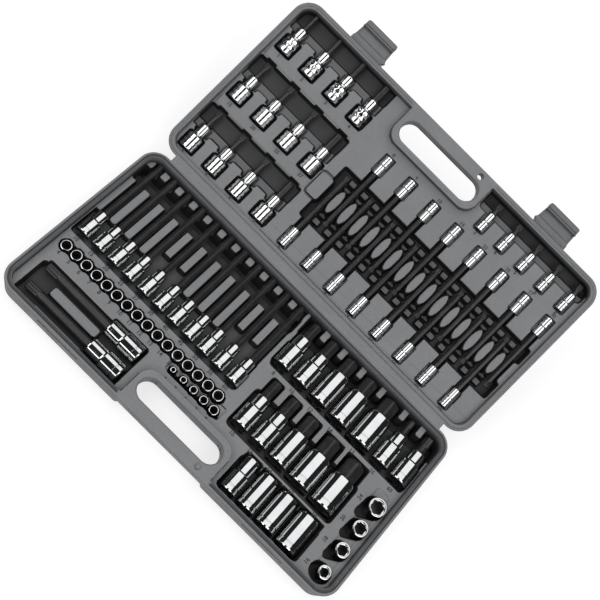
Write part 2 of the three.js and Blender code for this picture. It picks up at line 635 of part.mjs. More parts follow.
/** The empty half, before the tools' pockets are cut. */
function plainHalf(side, height, drop, round) {
  return shellSolid(side, height, round)
    .subtract(handleRelief(side, height))
    .subtract(trayRecess(side, drop))
    .subtract(handleSlot(side))
    .subtract(handleBevel(side))
    .add(hingeLeaf(side));
}

// ---------------------------------------------------------------- base pockets

/** Long bits: a trough under the shafts that leaves islands between them, and a finger trough. */
function longBitPockets() {
  const nose = LONG_BIT_TIP + LONG_BIT.bitLength;
  const face = LONG_BIT_TIP + overall(LONG_BIT);
  const blocksEnd = LONG_BIT_TIP + TIP_BLOCK_LENGTH;
  const islandsStart = blocksEnd + FINGER_TROUGH_LENGTH;
  const right = LEFT_BLOCK_END - 2;
  const shafts = pocket(BASE, TRAY_LEFT, right, TRAY_BACK, nose + END_CLEARANCE, -SHAFT_TROUGH_DEPTH);
  const islands = [];
  for (let i = 0; i <= LONG_BIT_COUNT; i += 1) {
    const x = longBitXs[0] + longBitPitch * (i - 0.5);
    const half = ISLAND_WIDTH / 2;
    const [left, right] = [Math.max(TRAY_LEFT - 1, x - half), Math.min(LEFT_BLOCK_END, x + half)];
    const short = i % 5 === 4 || i % 5 === 0;
    const end = nose - (short && i > 3 && i < LONG_BIT_COUNT ? SHORT_ISLAND_CUT : 0);
    islands.push(block(BASE, left, right, TRAY_BACK - 1, blocksEnd, -SHAFT_TROUGH_DEPTH - 1, ABOVE + 1));
    islands.push(block(BASE, left, right, islandsStart, end, -SHAFT_TROUGH_DEPTH - 1, ABOVE + 1));
  }
  const fingers = pocket(BASE, TRAY_LEFT, right, blocksEnd, islandsStart - 10, -FINGER_TROUGH_DEPTH);
  const sockets = pocket(BASE, TRAY_LEFT, right, nose, face + END_CLEARANCE, -SOCKET_TROUGH_DEPTH);
  return joined([shafts.subtract(joined(islands)), fingers, sockets, ...longBits.map((tool) => seat(tool))]);
}

/** Half inch bits: one trough with small blocks between the bit tips. */
function halfInchPockets() {
  const left = dividerX + DIVIDER_WIDTH / 2 + 1;
  const nose = HALF_INCH_TIP + HALF_INCH_BIT.bitLength;
  const face = HALF_INCH_TIP + overall(HALF_INCH_BIT);
  const tips = pocket(BASE, left, TRAY_RIGHT, TRAY_BACK, nose + END_CLEARANCE, -FINGER_TROUGH_DEPTH);
  const sockets = pocket(BASE, left, TRAY_RIGHT, nose, face + END_CLEARANCE + 1, -HALF_INCH_TROUGH_DEPTH);
  const blocks = halfInchXs.slice(1).map((x, i) => {
    const from = halfInchXs[i] + HALF_INCH_DRIVES[i];
    const to = x - HALF_INCH_DRIVES[i + 1];
    const middle = (from + to) / 2;
    const half = ISLAND_WIDTH / 2 - 0.5;
    const [start, end] = [TRAY_BACK - 1, HALF_INCH_TIP + 7];
    return block(BASE, middle - half, middle + half, start, end, -FINGER_TROUGH_DEPTH - 1, ABOVE + 1);
  });
  const room = halfInchBits.map((tool) => channelRoom(tool));
  return joined([tips.subtract(joined(blocks)), sockets, ...halfInchBits.map((tool) => seat(tool)), ...room]);
}

/** Room for a lying tool's bit beyond its nose. */
function channelRoom(tool) {
  const nose = tool.driveLength + tool.noseLength;
  const end = nose + tool.bitLength + END_CLEARANCE;
  const bit = channel(nose, end, tool.bitRadius, tool.axis, SEAT_CLEARANCE * 2);
  return solid(bit.applyMatrix4(placement(tool)));
}

/** Hex bits: a trough for the sockets and a slot for each bit. */
function hexPockets() {
  const nose = HEX_TIP + HEX_BIT.bitLength;
  const face = HEX_TIP + overall(HEX_BIT);
  const left = hexXs[0] - HEX_DRIVES[0] - 1.5;
  const last = HEX_DRIVES.length - 1;
  const right = hexXs[last] + HEX_DRIVES[last] + 1.5;
  const sockets = pocket(BASE, left, right, nose - 4, face + END_CLEARANCE + 1, -HALF_INCH_TROUGH_DEPTH);
  return joined([sockets, ...hexBits.map((tool) => seat(tool)), ...hexBits.map(channelRoom)]);
}

/** Star sockets: one deep pocket each, joined side by side. */
function starPockets() {
  const face = STAR_TIP + overall(STAR_SOCKET);
  const left = starXs[0] - STAR_DRIVES[0] - 1;
  const last = STAR_DRIVES.length - 1;
  const right = starXs[last] + STAR_DRIVES[last] + 1;
  const row = pocket(BASE, left, right, STAR_TIP + 3, face, -HALF_INCH_TROUGH_DEPTH);
  return joined([row, ...starSockets.map((tool) => seat(tool))]);
}

/** Extra long bits: they lie along the hinge direction with an island between the shafts. */
function extraLongPockets() {
  const drive = EXTRA_LONG_DRIVE_X;
  const nose = drive - EXTRA_LONG_BIT.driveLength - EXTRA_LONG_BIT.noseLength;
  const tip = nose - EXTRA_LONG_BIT.bitLength;
  const [back, front] = extraLongBits.map((tool) => tool.d);
  const reach = EXTRA_LONG_BIT.bitRadius;
  const floor = -SHAFT_TROUGH_DEPTH - 3;
  const shafts = pocket(BASE, tip - 4, nose + 2, back - reach - 1, front + reach + 6, floor);
  const island = block(
    BASE, tip + 20, nose - 2, back + reach + 3, front - reach - 1, floor - 2, ABOVE + 1,
  );
  const sockets = pocket(
    BASE, nose - 1, drive + END_CLEARANCE, back - EXTRA_LONG_BIT.driveRadius + 1,
    front + EXTRA_LONG_BIT.driveRadius - 1, -HALF_INCH_TROUGH_DEPTH,
  );
  return joined([shafts.subtract(island), sockets, ...extraLongBits.map((tool) => seat(tool))]);
}

// Upright sockets in the base, as [x, d, radius, bore, top]
const smallWidths = Array(UPRIGHT_SMALL_COUNT).fill(2 * UPRIGHT_SMALL_RADIUS);
const smallXs = spread(TRAY_LEFT + UPRIGHT_TROUGH_ROOM, LEFT_BLOCK_END, smallWidths);
const UPRIGHT_SMALL_D = UPRIGHT_BACK + UPRIGHT_TROUGH_WIDTH - UPRIGHT_SMALL_RADIUS + 0.6;
const UPRIGHT_MINI_D = UPRIGHT_BACK + UPRIGHT_TROUGH_WIDTH + UPRIGHT_MINI_STEP;
const uprightSmall = smallXs.map((x, i) => {
  const share = i / Math.max(1, UPRIGHT_SMALL_COUNT - 1);
  const top = UPRIGHT_SMALL_TOP_LEFT + (UPRIGHT_SMALL_TOP_RIGHT - UPRIGHT_SMALL_TOP_LEFT) * share;
  return [x, UPRIGHT_SMALL_D, UPRIGHT_SMALL_RADIUS, UPRIGHT_SMALL_BORE, top];
});
const smallPitch = smallXs[1] - smallXs[0];
const uprightMini = UPRIGHT_MINI_RADII.map((radius, i) => {
  const x = smallXs[UPRIGHT_SMALL_COUNT - UPRIGHT_MINI_RADII.length + i] + smallPitch / 2;
  return [x, UPRIGHT_MINI_D, radius, radius - UPRIGHT_MINI_WALL, UPRIGHT_MINI_TOP];
});
const LARGE_FIRST_D = HEX_TIP + UPRIGHT_LARGE_RADII[0] + LARGE_COLUMN_START;
const LARGE_LAST_D = TRAY_FRONT - UPRIGHT_LARGE_RADII.at(-1) - LARGE_COLUMN_END;
const largePitch = (LARGE_LAST_D - LARGE_FIRST_D) / (UPRIGHT_LARGE_RADII.length - 1);
const uprightLarge = UPRIGHT_LARGE_RADII.map((radius, i) => (
  [LARGE_COLUMN_X, LARGE_FIRST_D + largePitch * i, radius, radius - UPRIGHT_LARGE_WALL, TOP_CLEARANCE + 0.4]
));

/** Troughs and wells round the upright sockets. */
function uprightPockets() {
  const floor = -UPRIGHT_TROUGH_DEPTH;
  const trough = pocket(
    BASE, TRAY_LEFT + 1, LEFT_BLOCK_END - 1, UPRIGHT_BACK, UPRIGHT_BACK + UPRIGHT_TROUGH_WIDTH, floor,
  );
  const [firstMini, lastMini] = [uprightMini[0], uprightMini.at(-1)];
  const mini = pocket(
    BASE, firstMini[0] - firstMini[2] - 3, lastMini[0] + lastMini[2] + 2.5,
    UPRIGHT_MINI_D - 3, UPRIGHT_MINI_D + 6, floor,
  );
  const wells = [...uprightMini, ...uprightLarge].map(([x, d, radius]) => (
    post(BASE, x, d, radius + 1.6, floor, ABOVE)
  ));
  const notches = uprightLarge.map(([x, d, radius]) => {
    const corner = new THREE.Shape([
      new THREE.Vector2(x - radius - 1, -HINGE_LEAF - d),
      new THREE.Vector2(x - 1, -HINGE_LEAF - d - radius - 6),
      new THREE.Vector2(x + radius + 1, -HINGE_LEAF - d),
    ]);
    return prism(corner, floor + 6, ABOVE);
  });
  return joined([trough, mini, ...wells, ...notches]);
}

/** Slits below the rim of the front wall that the latch hooks catch in. */
function catchSlits() {
  const low = -LATCH_HOOK_DROP - LATCH_HOOK_THICKNESS - CATCH_CLEARANCE;
  const high = -LATCH_HOOK_DROP + CATCH_CLEARANCE;
  const depth = LATCH_HOOK_REACH + CATCH_CLEARANCE;
  const half = LATCH_WIDTH / 2 + 2;
  return joined([-LATCH_X, LATCH_X].map((x) => (
    block(BASE, x - half, x + half, HALF_DEPTH - depth, HALF_DEPTH + 2, low, high)
  )));
}

/** Pads on the underside that the case stands on. */
function feet() {
  const edge = WALL_DRAFT + BOTTOM_ROUND + FOOT_MARGIN;
  const outer = CASE_WIDTH / 2 - edge - FOOT_SIDE_MARGIN;
  const rows = [edge, HALF_DEPTH - edge - FOOT_WIDTH];
  const [low, high] = [-BASE_HEIGHT, -BASE_HEIGHT + FOOT_HEIGHT + 1];
  const corners = rows.flatMap((d) => [-outer, outer - FOOT_LENGTH].map((x) => (
    block(BASE, x, x + FOOT_LENGTH, d, d + FOOT_WIDTH, low, high)
  )));
  const middle = post(BASE, 0, HALF_DEPTH / 2, FOOT_WIDTH, low, high, FOOT_SIDES);
  return joined([...corners, middle]);
}

function baseSolid() {
  const uprights = [...uprightSmall, ...uprightMini, ...uprightLarge];
  const fixed = uprights.map((place) => uprightSolid(BASE, ...place));
  const pockets = joined([
    longBitPockets(), halfInchPockets(), hexPockets(), starPockets(), extraLongPockets(), uprightPockets(),
  ]);
  const tipRoom = joined(longBits.map(channelRoom));
  const peg = post(BASE, PEG_X, HALF_DEPTH - HANDLE_BAR / 2, PEG_RADIUS, -3, PEG_HEIGHT, 8);
  return plainHalf(BASE, BASE_HEIGHT - FOOT_HEIGHT, BASE_TRAY_DROP, BOTTOM_ROUND)
    .subtract(rimBand(BASE, SEAL_INSET, SEAL_GROOVE_WIDTH, RIM_TOP - SEAL_GROOVE_DEPTH, ABOVE))
    .subtract(pockets.intersect(trayRoom(BASE)).add(tipRoom))
    .subtract(catchSlits())
    .add(joined(fixed))
    .add(feet())
    .add(peg);
}

// ---------------------------------------------------------------- lid pockets

/** Three rows of four: seats for the sockets and a trough under each row's bits. */
function lidBitPockets() {
  const troughs = [];
  for (let row = 0; row < LID_BIT_ROWS; row += 1) {
    const start = LID_FIRST_DRIVE + lidRowPitch * row + overall(LID_BIT) - LID_BIT.bitLength - 6;
    const end = start + LID_BIT.bitLength + 6 + END_CLEARANCE;
    troughs.push(pocket(LID, TRAY_LEFT, LID_BLOCK_RIGHT - 1, start, end, -LID_TROUGH_DEPTH));
  }
  return joined([...troughs, ...lidBits.map((tool) => seat(tool))]);
}

/** Thin bits: two rows of seats, shaft slots, and a trough with oval pegs between the shafts. */
function thinBitPockets() {
  const nose = THIN_BIT.driveLength + THIN_BIT.noseLength;
  const tipNear = THIN_FAR_DRIVE - overall(THIN_BIT);
  const tipFar = THIN_HINGE_DRIVE + overall(THIN_BIT);
  const [start, end] = [tipNear - 6, tipFar + 4];
  const middle = (start + end) / 2;
  const slotHalf = THIN_BIT.noseRadius - 0.4;
  const trough = pocket(LID, thinXs[0] - thinPitch * 0.6, TRAY_RIGHT, start, end, -LID_TROUGH_DEPTH);
  const pegs = [];
  for (let i = -1; i < THIN_BIT_COUNT; i += 1) {
    const x = thinXs[0] + thinPitch * (i + 0.5);
    const shape = new THREE.Shape();
    shape.absellipse(
      x, HINGE_LEAF + middle, PEG_ISLAND_WIDTH / 2, PEG_ISLAND_LENGTH / 2, 0, 2 * Math.PI, false, 0,
    );
    pegs.push(prism(shape, -LID_TROUGH_DEPTH - 1, -LID_TRAY_DROP + 0.5, 4));
  }
  const slots = [...thinFromHinge, ...thinFromFar].map((tool) => {
    const direction = Math.cos(tool.turn);
    const inner = tool.d + direction * nose;
    const outer = direction > 0 ? start + 1 : end - 1;
    const [d0, d1] = [inner, outer].sort((a, b) => a - b);
    return block(LID, tool.x - slotHalf, tool.x + slotHalf, d0, d1, THIN_AXIS - slotHalf, ABOVE);
  });
  const seats = [
    ...thinFromFar.map((tool) => seat(tool)),
    ...thinFromHinge.map(fixedSeat),
  ];
  return joined([trough.subtract(joined(pegs)), ...slots, ...seats]);
}

/** Short bits: a trough in the far corner and a seat for each. */
function shortBitPockets() {
  const nose = SHORT_DRIVE + SHORT_BIT.driveLength + SHORT_BIT.noseLength;
  const tip = SHORT_DRIVE + overall(SHORT_BIT);
  const [start, end] = [nose - 3, tip + END_CLEARANCE + 3];
  const trough = pocket(LID, LAND_RIGHT + 4, TRAY_RIGHT, start, end, -LID_TROUGH_DEPTH);
  return joined([trough, ...shortBits.map((tool) => seat(tool))]);
}

const PIVOT_D = HALF_DEPTH + LATCH_PIVOT_OUT;
const LUG_GAP = 0.4;

/** Two lugs on the lid's far wall that hold a latch's pins. */
function latchLugs(x) {
  const reach = LATCH_BARREL_RADIUS;
  const lugs = [-1, 1].map((end) => {
    const inner = LATCH_WIDTH / 2 - LATCH_LUG_WIDTH;
    const [x0, x1] = [x + end * inner, x + end * (inner + LATCH_LUG_WIDTH)].sort((a, b) => a - b);
    const arm = block(
      LID, x0, x1, HALF_DEPTH - 5, PIVOT_D, -LATCH_PIVOT_DEPTH - reach, -LATCH_PIVOT_DEPTH + reach,
    );
    const eye = new THREE.CylinderGeometry(reach, reach, x1 - x0, SOCKET_SIDES).rotateZ(Math.PI / 2);
    eye.translate((x0 + x1) / 2, HINGE_LEAF + PIVOT_D, -LATCH_PIVOT_DEPTH);
    const hole = new THREE.CylinderGeometry(
      LATCH_PIN_RADIUS + 0.35, LATCH_PIN_RADIUS + 0.35, LATCH_LUG_WIDTH + 2, SOCKET_SIDES,
    ).rotateZ(Math.PI / 2);
    hole.translate((x0 + x1) / 2, HINGE_LEAF + PIVOT_D, -LATCH_PIVOT_DEPTH);
    return arm.add(solid(eye)).subtract(solid(hole));
  });
  return joined(lugs);
}

/** The seal's tongue, on every side but the hinge. */
function lidTongue() {
  const inset = SEAL_INSET + (SEAL_GROOVE_WIDTH - SEAL_TONGUE_WIDTH) / 2;
  const band = rimBand(LID, inset, SEAL_TONGUE_WIDTH, RIM_TOP - 1, RIM_TOP + SEAL_TONGUE_HEIGHT);
  const hingeSide = block(LID, -CASE_WIDTH, CASE_WIDTH, -1, BACK_CORNER + 4, -5, 5);
  return band.subtract(hingeSide);
}

function lidSolid() {
  const hole = post(LID, PEG_X, HALF_DEPTH - HANDLE_BAR / 2, PEG_HOLE_RADIUS, -LID_HEIGHT - 1, ABOVE, 10);
  const pockets = joined([lidBitPockets(), thinBitPockets(), shortBitPockets()]);
  const tipRoom = joined([...lidBits, ...shortBits].map(channelRoom));
  const fixed = thinFromHinge.map((tool) => toolSolid(tool).transform(placement(tool).elements));
  return plainHalf(LID, LID_HEIGHT, LID_TRAY_DROP, LID_TOP_ROUND)
    .subtract(pockets.intersect(trayRoom(LID)).add(tipRoom))
    .add(lidTongue())
    .add(latchLugs(-LATCH_X))
    .add(latchLugs(LATCH_X))
    .add(joined(fixed))
    .subtract(hole);
}

// ---------------------------------------------------------------- latches

/**
 * A latch, swung open, with its pivot on the X axis and its finger edge towards +Y.
 * `inward` is the sign of X on the side that tapers.
 */
function latchSolid(inward) {
  const top = LATCH_PIVOT_OUT - 1;
  const low = top - LATCH_PLATE;
  const hookFrom = LATCH_PIVOT_DEPTH + LATCH_HOOK_DROP;
  const hookTo = hookFrom + LATCH_HOOK_THICKNESS;
  const hookTop = LATCH_PIVOT_OUT + LATCH_HOOK_REACH;
  const section = new THREE.Shape([
    [0, low], [hookTo, low], [LATCH_REACH - 3, low - 1.4], [LATCH_REACH, low - 1],
    [LATCH_REACH, low + 1], [LATCH_REACH - 3, top - 0.6], [hookTo + 1.4, top],
    [hookTo, hookTop - 1.2], [hookFrom + 0.8, hookTop], [hookFrom, hookTop], [hookFrom, top], [0, top],
  ].map(([y, z]) => new THREE.Vector2(y, z)));
  const width = LATCH_WIDTH - 2 * (LATCH_LUG_WIDTH + LUG_GAP);
  const plate = new THREE.ExtrudeGeometry(section, { depth: width, bevelEnabled: false });
  plate.rotateX(Math.PI / 2).rotateZ(Math.PI / 2).translate(-width / 2, 0, 0);
  const barrel = new THREE.CylinderGeometry(LATCH_BARREL_RADIUS, LATCH_BARREL_RADIUS, width, SOCKET_SIDES);
  const pin = new THREE.CylinderGeometry(LATCH_PIN_RADIUS, LATCH_PIN_RADIUS, LATCH_WIDTH - 1, SOCKET_SIDES);
  const wedge = new THREE.Shape([
    new THREE.Vector2(inward * width / 2, 6),
    new THREE.Vector2(inward * (width / 2 - LATCH_TAPER), LATCH_REACH + 1),
    new THREE.Vector2(inward * (width / 2 + 2), LATCH_REACH + 1),
    new THREE.Vector2(inward * (width / 2 + 2), 6),
  ]);
  return joined([plate, barrel.rotateZ(Math.PI / 2), pin.rotateZ(Math.PI / 2)].map(solid))
    .subtract(prism(wedge, -10, 10));
}

// ---------------------------------------------------------------- materials and assembly

const material = (color, roughness, metalness) => (
  new THREE.MeshStandardMaterial({ color, roughness, metalness })
);
const casePlastic = () => material(0x77787a, 0.6, 0);
const latchPlastic = () => material(0x6c6e70, 0.55, 0);
const chrome = () => material(0xd8dade, 0.12, 1);

function piece(name, manifold, look) {
  const mesh = new THREE.Mesh(geometryOf(manifold), look);
  mesh.name = name;
  return mesh;
}

/** A stored tool as its own mesh, placed in its half. */
function toolPiece(tool) {
  const mesh = piece(tool.name, toolSolid(tool), chrome());
  mesh.applyMatrix4(placement(tool));
  return mesh;
}

function hingeBead() {
  const length = CASE_WIDTH - 2 * HINGE_END_INSET;
  const bead = new THREE.CylinderGeometry(HINGE_BEAD_RADIUS, HINGE_BEAD_RADIUS, length, 8);
  return solid(bead.rotateZ(Math.PI / 2));
}

const base = new THREE.Group();
base.position.set(0, HINGE_Y, BASE_HEIGHT);
base.add(piece('base_half', baseSolid(), casePlastic()));
base.add(piece('living_hinge', hingeBead(), casePlastic()));
for (const tool of [...longBits, ...halfInchBits, ...hexBits, ...starSockets, ...extraLongBits]) {
  base.add(toolPiece(tool));
}

const lid = new THREE.Group();
lid.position.set(0, HINGE_Y, BASE_HEIGHT);
lid.rotation.x = THREE.MathUtils.degToRad(LID_RISE);
lid.add(piece('lid_half', lidSolid(), casePlastic()));
for (const [name, x] of [['latch_left', -LATCH_X], ['latch_right', LATCH_X]]) {
  const latch = piece(name, latchSolid(-Math.sign(x)), latchPlastic());
  latch.position.set(x, HINGE_LEAF + PIVOT_D, -LATCH_PIVOT_DEPTH);
  lid.add(latch);
}
for (const tool of [...lidBits, ...thinFromFar, ...shortBits]) {
  lid.add(toolPiece(tool));
}

const set = new THREE.Group();
set.add(base, lid);

export default set;
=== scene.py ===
"""Socket wrench set in a moulded carry case, dressed for the render.

Sizes are in millimetres unless a name ends in _m. Each case half has its own frame: x runs along
the hinge, d is the distance out from the half's hinge edge and h the height above its rim plane.
"""
import json
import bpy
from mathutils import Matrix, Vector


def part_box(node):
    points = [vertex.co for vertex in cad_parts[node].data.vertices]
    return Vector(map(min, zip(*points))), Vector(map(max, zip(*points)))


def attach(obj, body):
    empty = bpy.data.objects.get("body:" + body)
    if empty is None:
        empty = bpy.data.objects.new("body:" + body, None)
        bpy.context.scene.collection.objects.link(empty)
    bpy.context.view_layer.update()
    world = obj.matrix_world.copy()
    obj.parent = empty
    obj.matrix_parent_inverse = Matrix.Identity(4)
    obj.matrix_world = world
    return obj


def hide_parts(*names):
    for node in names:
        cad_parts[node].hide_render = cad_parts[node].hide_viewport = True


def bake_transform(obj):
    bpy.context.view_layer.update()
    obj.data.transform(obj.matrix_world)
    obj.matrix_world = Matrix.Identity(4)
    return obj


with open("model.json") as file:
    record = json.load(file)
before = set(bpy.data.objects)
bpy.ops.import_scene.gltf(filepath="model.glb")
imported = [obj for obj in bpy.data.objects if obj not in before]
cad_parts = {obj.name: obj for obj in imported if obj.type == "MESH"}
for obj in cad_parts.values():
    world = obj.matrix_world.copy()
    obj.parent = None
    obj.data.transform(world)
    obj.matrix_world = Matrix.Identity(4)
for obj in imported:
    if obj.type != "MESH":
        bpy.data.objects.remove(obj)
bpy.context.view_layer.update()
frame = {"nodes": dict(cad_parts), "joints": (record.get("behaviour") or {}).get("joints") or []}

from copy import copy
from math import cos, pi, radians, sin, sqrt, tau
from types import SimpleNamespace as Record

import bmesh
import bpy
import numpy as np
from mathutils import Matrix, Vector

# ---------- sizes shared with the solids

MM = 0.001
WIDTH = (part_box("base_half")[1].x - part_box("base_half")[0].x) / MM
DEPTH = 218
LEAF = 3.5                 # from each half's edge to the fold
LID_RISE = radians(25)
BACK_CORNER = 20
FRONT_CORNER = 21
WALL_DRAFT = 1.5
RIM_TOP = -0.15
RIM_WIDTH = 7
SIZES = {
    "base": {"height": 34.5, "round": 14, "drop": 10},
    "lid": {"height": 24, "round": 10, "drop": 8.5},
}
FOOT_HEIGHT = 1.5
SLOT_LENGTH = 106.5
SLOT_WIDTH = 25
SLOT_FRONT = DEPTH - 15
SLOT_BACK = SLOT_FRONT - SLOT_WIDTH
SLOT_MIDDLE = (SLOT_BACK + SLOT_FRONT) / 2
LAND_HALF = 59.75
LAND_BACK = SLOT_BACK - 6.5
HANDLE_HALF = 16           # the handle is this thick in each half
HANDLE_BEVEL = 4.5
RELIEF_HALF = 56
RELIEF_LEAN = 2.5
BAR_HALF = 60              # the seal stops short of the handle's bar, this far from its middle
PEG_X = 42
PEG_D = DEPTH - 7.5
LATCH_X = 136.5
LATCH_PIVOT = (DEPTH + 3.2, -11)
LATCH_WIDTH = 49
LATCH_REACH = 27
LATCH_CORNER = 3
LUG_RADIUS = 1.9

WALL_SLOPE = 14            # how steeply a tray's outer wall falls away inside the rim
POCKET_SLOPE = 12          # and how steep the walls of its pockets are
LINE_FLANK = 0.35
# Lines along the rim as (inset, half width, depth): the seal's groove and tongue come first.
RIM_LINES = {
    "base": [(3.8, 0.85, 1.9), (5.9, 0.3, 1.3)],
    "lid": [(3.8, 0.4, -0.9), (2.4, 0.15, 0.4), (5.9, 0.2, 0.4)],
}
LAND_LINE = {"base": 0.3, "lid": 0.5}
UPRIGHT_FLOOR = -22

GRID = 0.75      # spacing of the moulded halves' surface
KEEP = 0.3       # share of their faces that is kept

FOLD = Vector(next(j for j in frame["joints"] if j["name"] == "lid_hinge")["pos_m"])
HALF_FRAME = {
    "base": Matrix.Translation(FOLD),
    "lid": Matrix.Translation(FOLD) @ Matrix.Rotation(LID_RISE, 4, "X"),
}
SIDE = {"base": -1, "lid": 1}


def at(half, x, d, h):
    """A point of one half in the half's own frame, in metres."""
    return Vector((x * MM, SIDE[half] * (LEAF + d) * MM, h * MM))


# ---------- materials

SUNK = "sunk"              # the attribute that says how much painted shade a face gets, by how far down a pocket it lies
SUNK_DEPTH = 10            # this far down a pocket the painted shade is darkest
SUNK_SHADE = 0.06          # how much of its colour is left at the bottom: painted shade, darkest deep in the pockets


def plug(tree, node, inputs):
    """Sets a node's inputs, each to a number, a colour or another node's output."""
    for name, value in inputs.items():
        if isinstance(value, bpy.types.NodeSocket):
            tree.links.new(value, node.inputs[name])
        else:
            node.inputs[name].default_value = value


def make(tree, kind, inputs, output=0, **settings):
    """A new shader node's output."""
    node = tree.nodes.new(f"ShaderNode{kind}")
    for name, value in settings.items():
        setattr(node, name, value)
    plug(tree, node, inputs)
    return node.outputs[output]


def noise(tree, scale, detail):
    """A noise value in object coordinates, with `scale` cells to the metre."""
    where = make(tree, "TexCoord", {}, "Object")
    return make(tree, "TexNoise", {"Scale": scale, "Detail": detail, "Vector": where}, "Fac")


def between(tree, value, low, high):
    """A value from 0.3 to 0.7 spread out from low to high: numbers, or colours."""
    if not isinstance(low, tuple):
        ends = {"From Min": 0.3, "From Max": 0.7, "To Min": low, "To Max": high}
        return make(tree, "MapRange", {"Value": value, **ends}, "Result")
    colour = make(tree, "ValToRGB", {"Fac": value}, "Color")
    for stop, position, shade in zip(colour.node.color_ramp.elements, (0.3, 0.7), (low, high)):
        stop.position, stop.color = position, (*shade, 1)
    return colour


def surfaced(name, fixed, shades, roughness, grain=None):
    """A material and its shader. `shades` and `roughness` vary: (noise scale, detail, low, high)."""
    material = bpy.data.materials.new(name)
    material.use_nodes = True
    tree = material.node_tree
    surface = tree.nodes["Principled BSDF"]
    plug(tree, surface, fixed)
    for label, (scale, detail, low, high) in (("Base Color", shades), ("Roughness", roughness)):
        plug(tree, surface, {label: between(tree, noise(tree, scale, detail), low, high)})
    if grain:
        scale, distance_m, strength = grain
        height = {"Height": noise(tree, scale, 2), "Distance": distance_m, "Strength": strength}
        plug(tree, surface, {"Normal": make(tree, "Bump", height, "Normal")})
    return material, surface


def moulded_plastic(name, dark, light, roughness=(0.48, 0.62)):
    """Grey moulded plastic: speckled, with flow marks, and with painted shade where its mesh says it is sunk.
    """
    fixed = {"Base Color": (*light, 1), "Roughness": roughness[0], "Specular IOR Level": 0.35}
    material, surface = surfaced(name, fixed, (22, 6, dark, light), (60, 3, *roughness), (1500, 0.00006, 0.6))
    tree = material.node_tree
    speckle = between(tree, noise(tree, 700, 3), 0.91, 1.09)
    # Painted shade: the colour darkens by the sunk attribute, down the pockets, on their walls and in the
    # rim's grooves.
    sunk = make(tree, "Attribute", {}, "Fac", attribute_name=SUNK)
    painted_shade = make(tree, "MapRange", {"Value": sunk, "To Min": 1.0, "To Max": SUNK_SHADE}, "Result")
    colour = surface.inputs["Base Color"].links[0].from_socket
    for factor in (speckle, painted_shade):
        colour = make(tree, "VectorMath", {"Vector": colour, "Scale": factor}, "Vector", operation="SCALE")
    plug(tree, surface, {"Base Color": colour})
    return material


case_plastic = moulded_plastic("case_plastic", (0.200, 0.203, 0.210), (0.222, 0.225, 0.232))
latch_plastic = moulded_plastic("latch_plastic", (0.145, 0.148, 0.154), (0.170, 0.173, 0.180), (0.4, 0.52))
mark_ink = moulded_plastic("moulded_mark", (0.040, 0.041, 0.043), (0.055, 0.056, 0.058))
# Chrome plate, hazy in places
chrome, _ = surfaced(
    "chrome_plate", {"Base Color": (0.58, 0.59, 0.60, 1), "Roughness": 0.06, "Metallic": 1.0},
    (90, 2, (0.56, 0.565, 0.57), (0.62, 0.625, 0.63)), (180, 3, 0.04, 0.10))
# Blackened steel for the bits: nearly black, with paler rubbed patches. Inside the sockets' bores it is
# painted shade.
black_steel_and_bore_shade, _ = surfaced(
    "black_oxide_steel_and_bore_shade", {"Base Color": (0.016, 0.016, 0.017, 1), "Roughness": 0.3, "Metallic": 0.1},
    (120, 5, (0.016, 0.016, 0.017), (0.030, 0.030, 0.031)), (300, 3, 0.26, 0.4), (1800, 0.00004, 0.4))


# ---------- meshes


def linked(name, data, material=None, half=None):
    """An object in the scene. With a half's name, its mesh was made in that half's own frame."""
    obj = bpy.data.objects.new(name, data)
    bpy.context.scene.collection.objects.link(obj)
    if material:
        data.materials.clear()
        data.materials.append(material)
    if half:
        data.transform(HALF_FRAME[half])
    return obj


def mesh_from(name, points, faces):
    mesh = bpy.data.meshes.new(name)
    mesh.from_pydata(points, [], faces)
    mesh.update()
    return mesh


def smooth(mesh, sharp):
    """Smooth shading, with edges kept crisp where the faces turn by more than `sharp` degrees."""
    work = bmesh.new()
    work.from_mesh(mesh)
    bmesh.ops.recalc_face_normals(work, faces=work.faces)
    for face in work.faces:
        face.smooth = True
    for edge in work.edges:
        edge.smooth = not (edge.is_manifold and edge.calc_face_angle(0) > radians(sharp))
    work.to_mesh(mesh)
    work.free()


def evaluated(obj):
    """A new mesh: what an object's modifiers or its letters make."""
    bpy.context.view_layer.update()
    return bpy.data.meshes.new_from_object(obj.evaluated_get(bpy.context.evaluated_depsgraph_get()))


def modified(obj, kind, **settings):
    """Applies a modifier to an object's mesh."""
    modifier = obj.modifiers.new(kind.lower(), kind)
    for name, value in settings.items():
        setattr(modifier, name, value)
    mesh = evaluated(obj)
    obj.modifiers.clear()
    obj.data = mesh


def swept(name, sections):
    """A closed mesh through outlines of equally many points."""
    count, points = len(sections[0]), [point for section in sections for point in section]
    faces = [tuple(range(count)), tuple(range(len(points) - 1, len(points) - count - 1, -1))]
    for start in range(0, len(points) - count, count):
        for i in range(count):
            a, b = start + i, start + (i + 1) % count
            faces.append((a, a + count, b + count, b))
    return mesh_from(name, points, faces)


def prism(name, low, high):
    """A closed prism between two outlines, its ends split up for a clean cut."""
    mesh = swept(name, [low, high])
    work = bmesh.new()
    work.from_mesh(mesh)
    bmesh.ops.recalc_face_normals(work, faces=work.faces)
    bmesh.ops.triangulate(work, faces=[f for f in work.faces if len(f.verts) > 4])
    work.to_mesh(mesh)
    work.free()
    return mesh


def arc(x, d, radius, start, turn, steps):
    """Points along an arc, both ends included."""
    angles = [start + turn * i / steps for i in range(steps + 1)]
    return [(x + radius * cos(a), d + radius * sin(a)) for a in angles]


# ---------- shapes in a half's plane
# Each gives the signed distance to an outline, negative inside.


def rounded_box(x, d, x0, x1, d0, d1, radius=3.0):
    half_x, half_d = (x1 - x0) / 2, (d1 - d0) / 2
    radius = min(radius, half_x, half_d)
    out_x = np.abs(x - (x0 + x1) / 2) - half_x + radius
    out_d = np.abs(d - (d0 + d1) / 2) - half_d + radius
    outside = np.hypot(np.maximum(out_x, 0), np.maximum(out_d, 0))
    return outside + np.minimum(np.maximum(out_x, out_d), 0) - radius


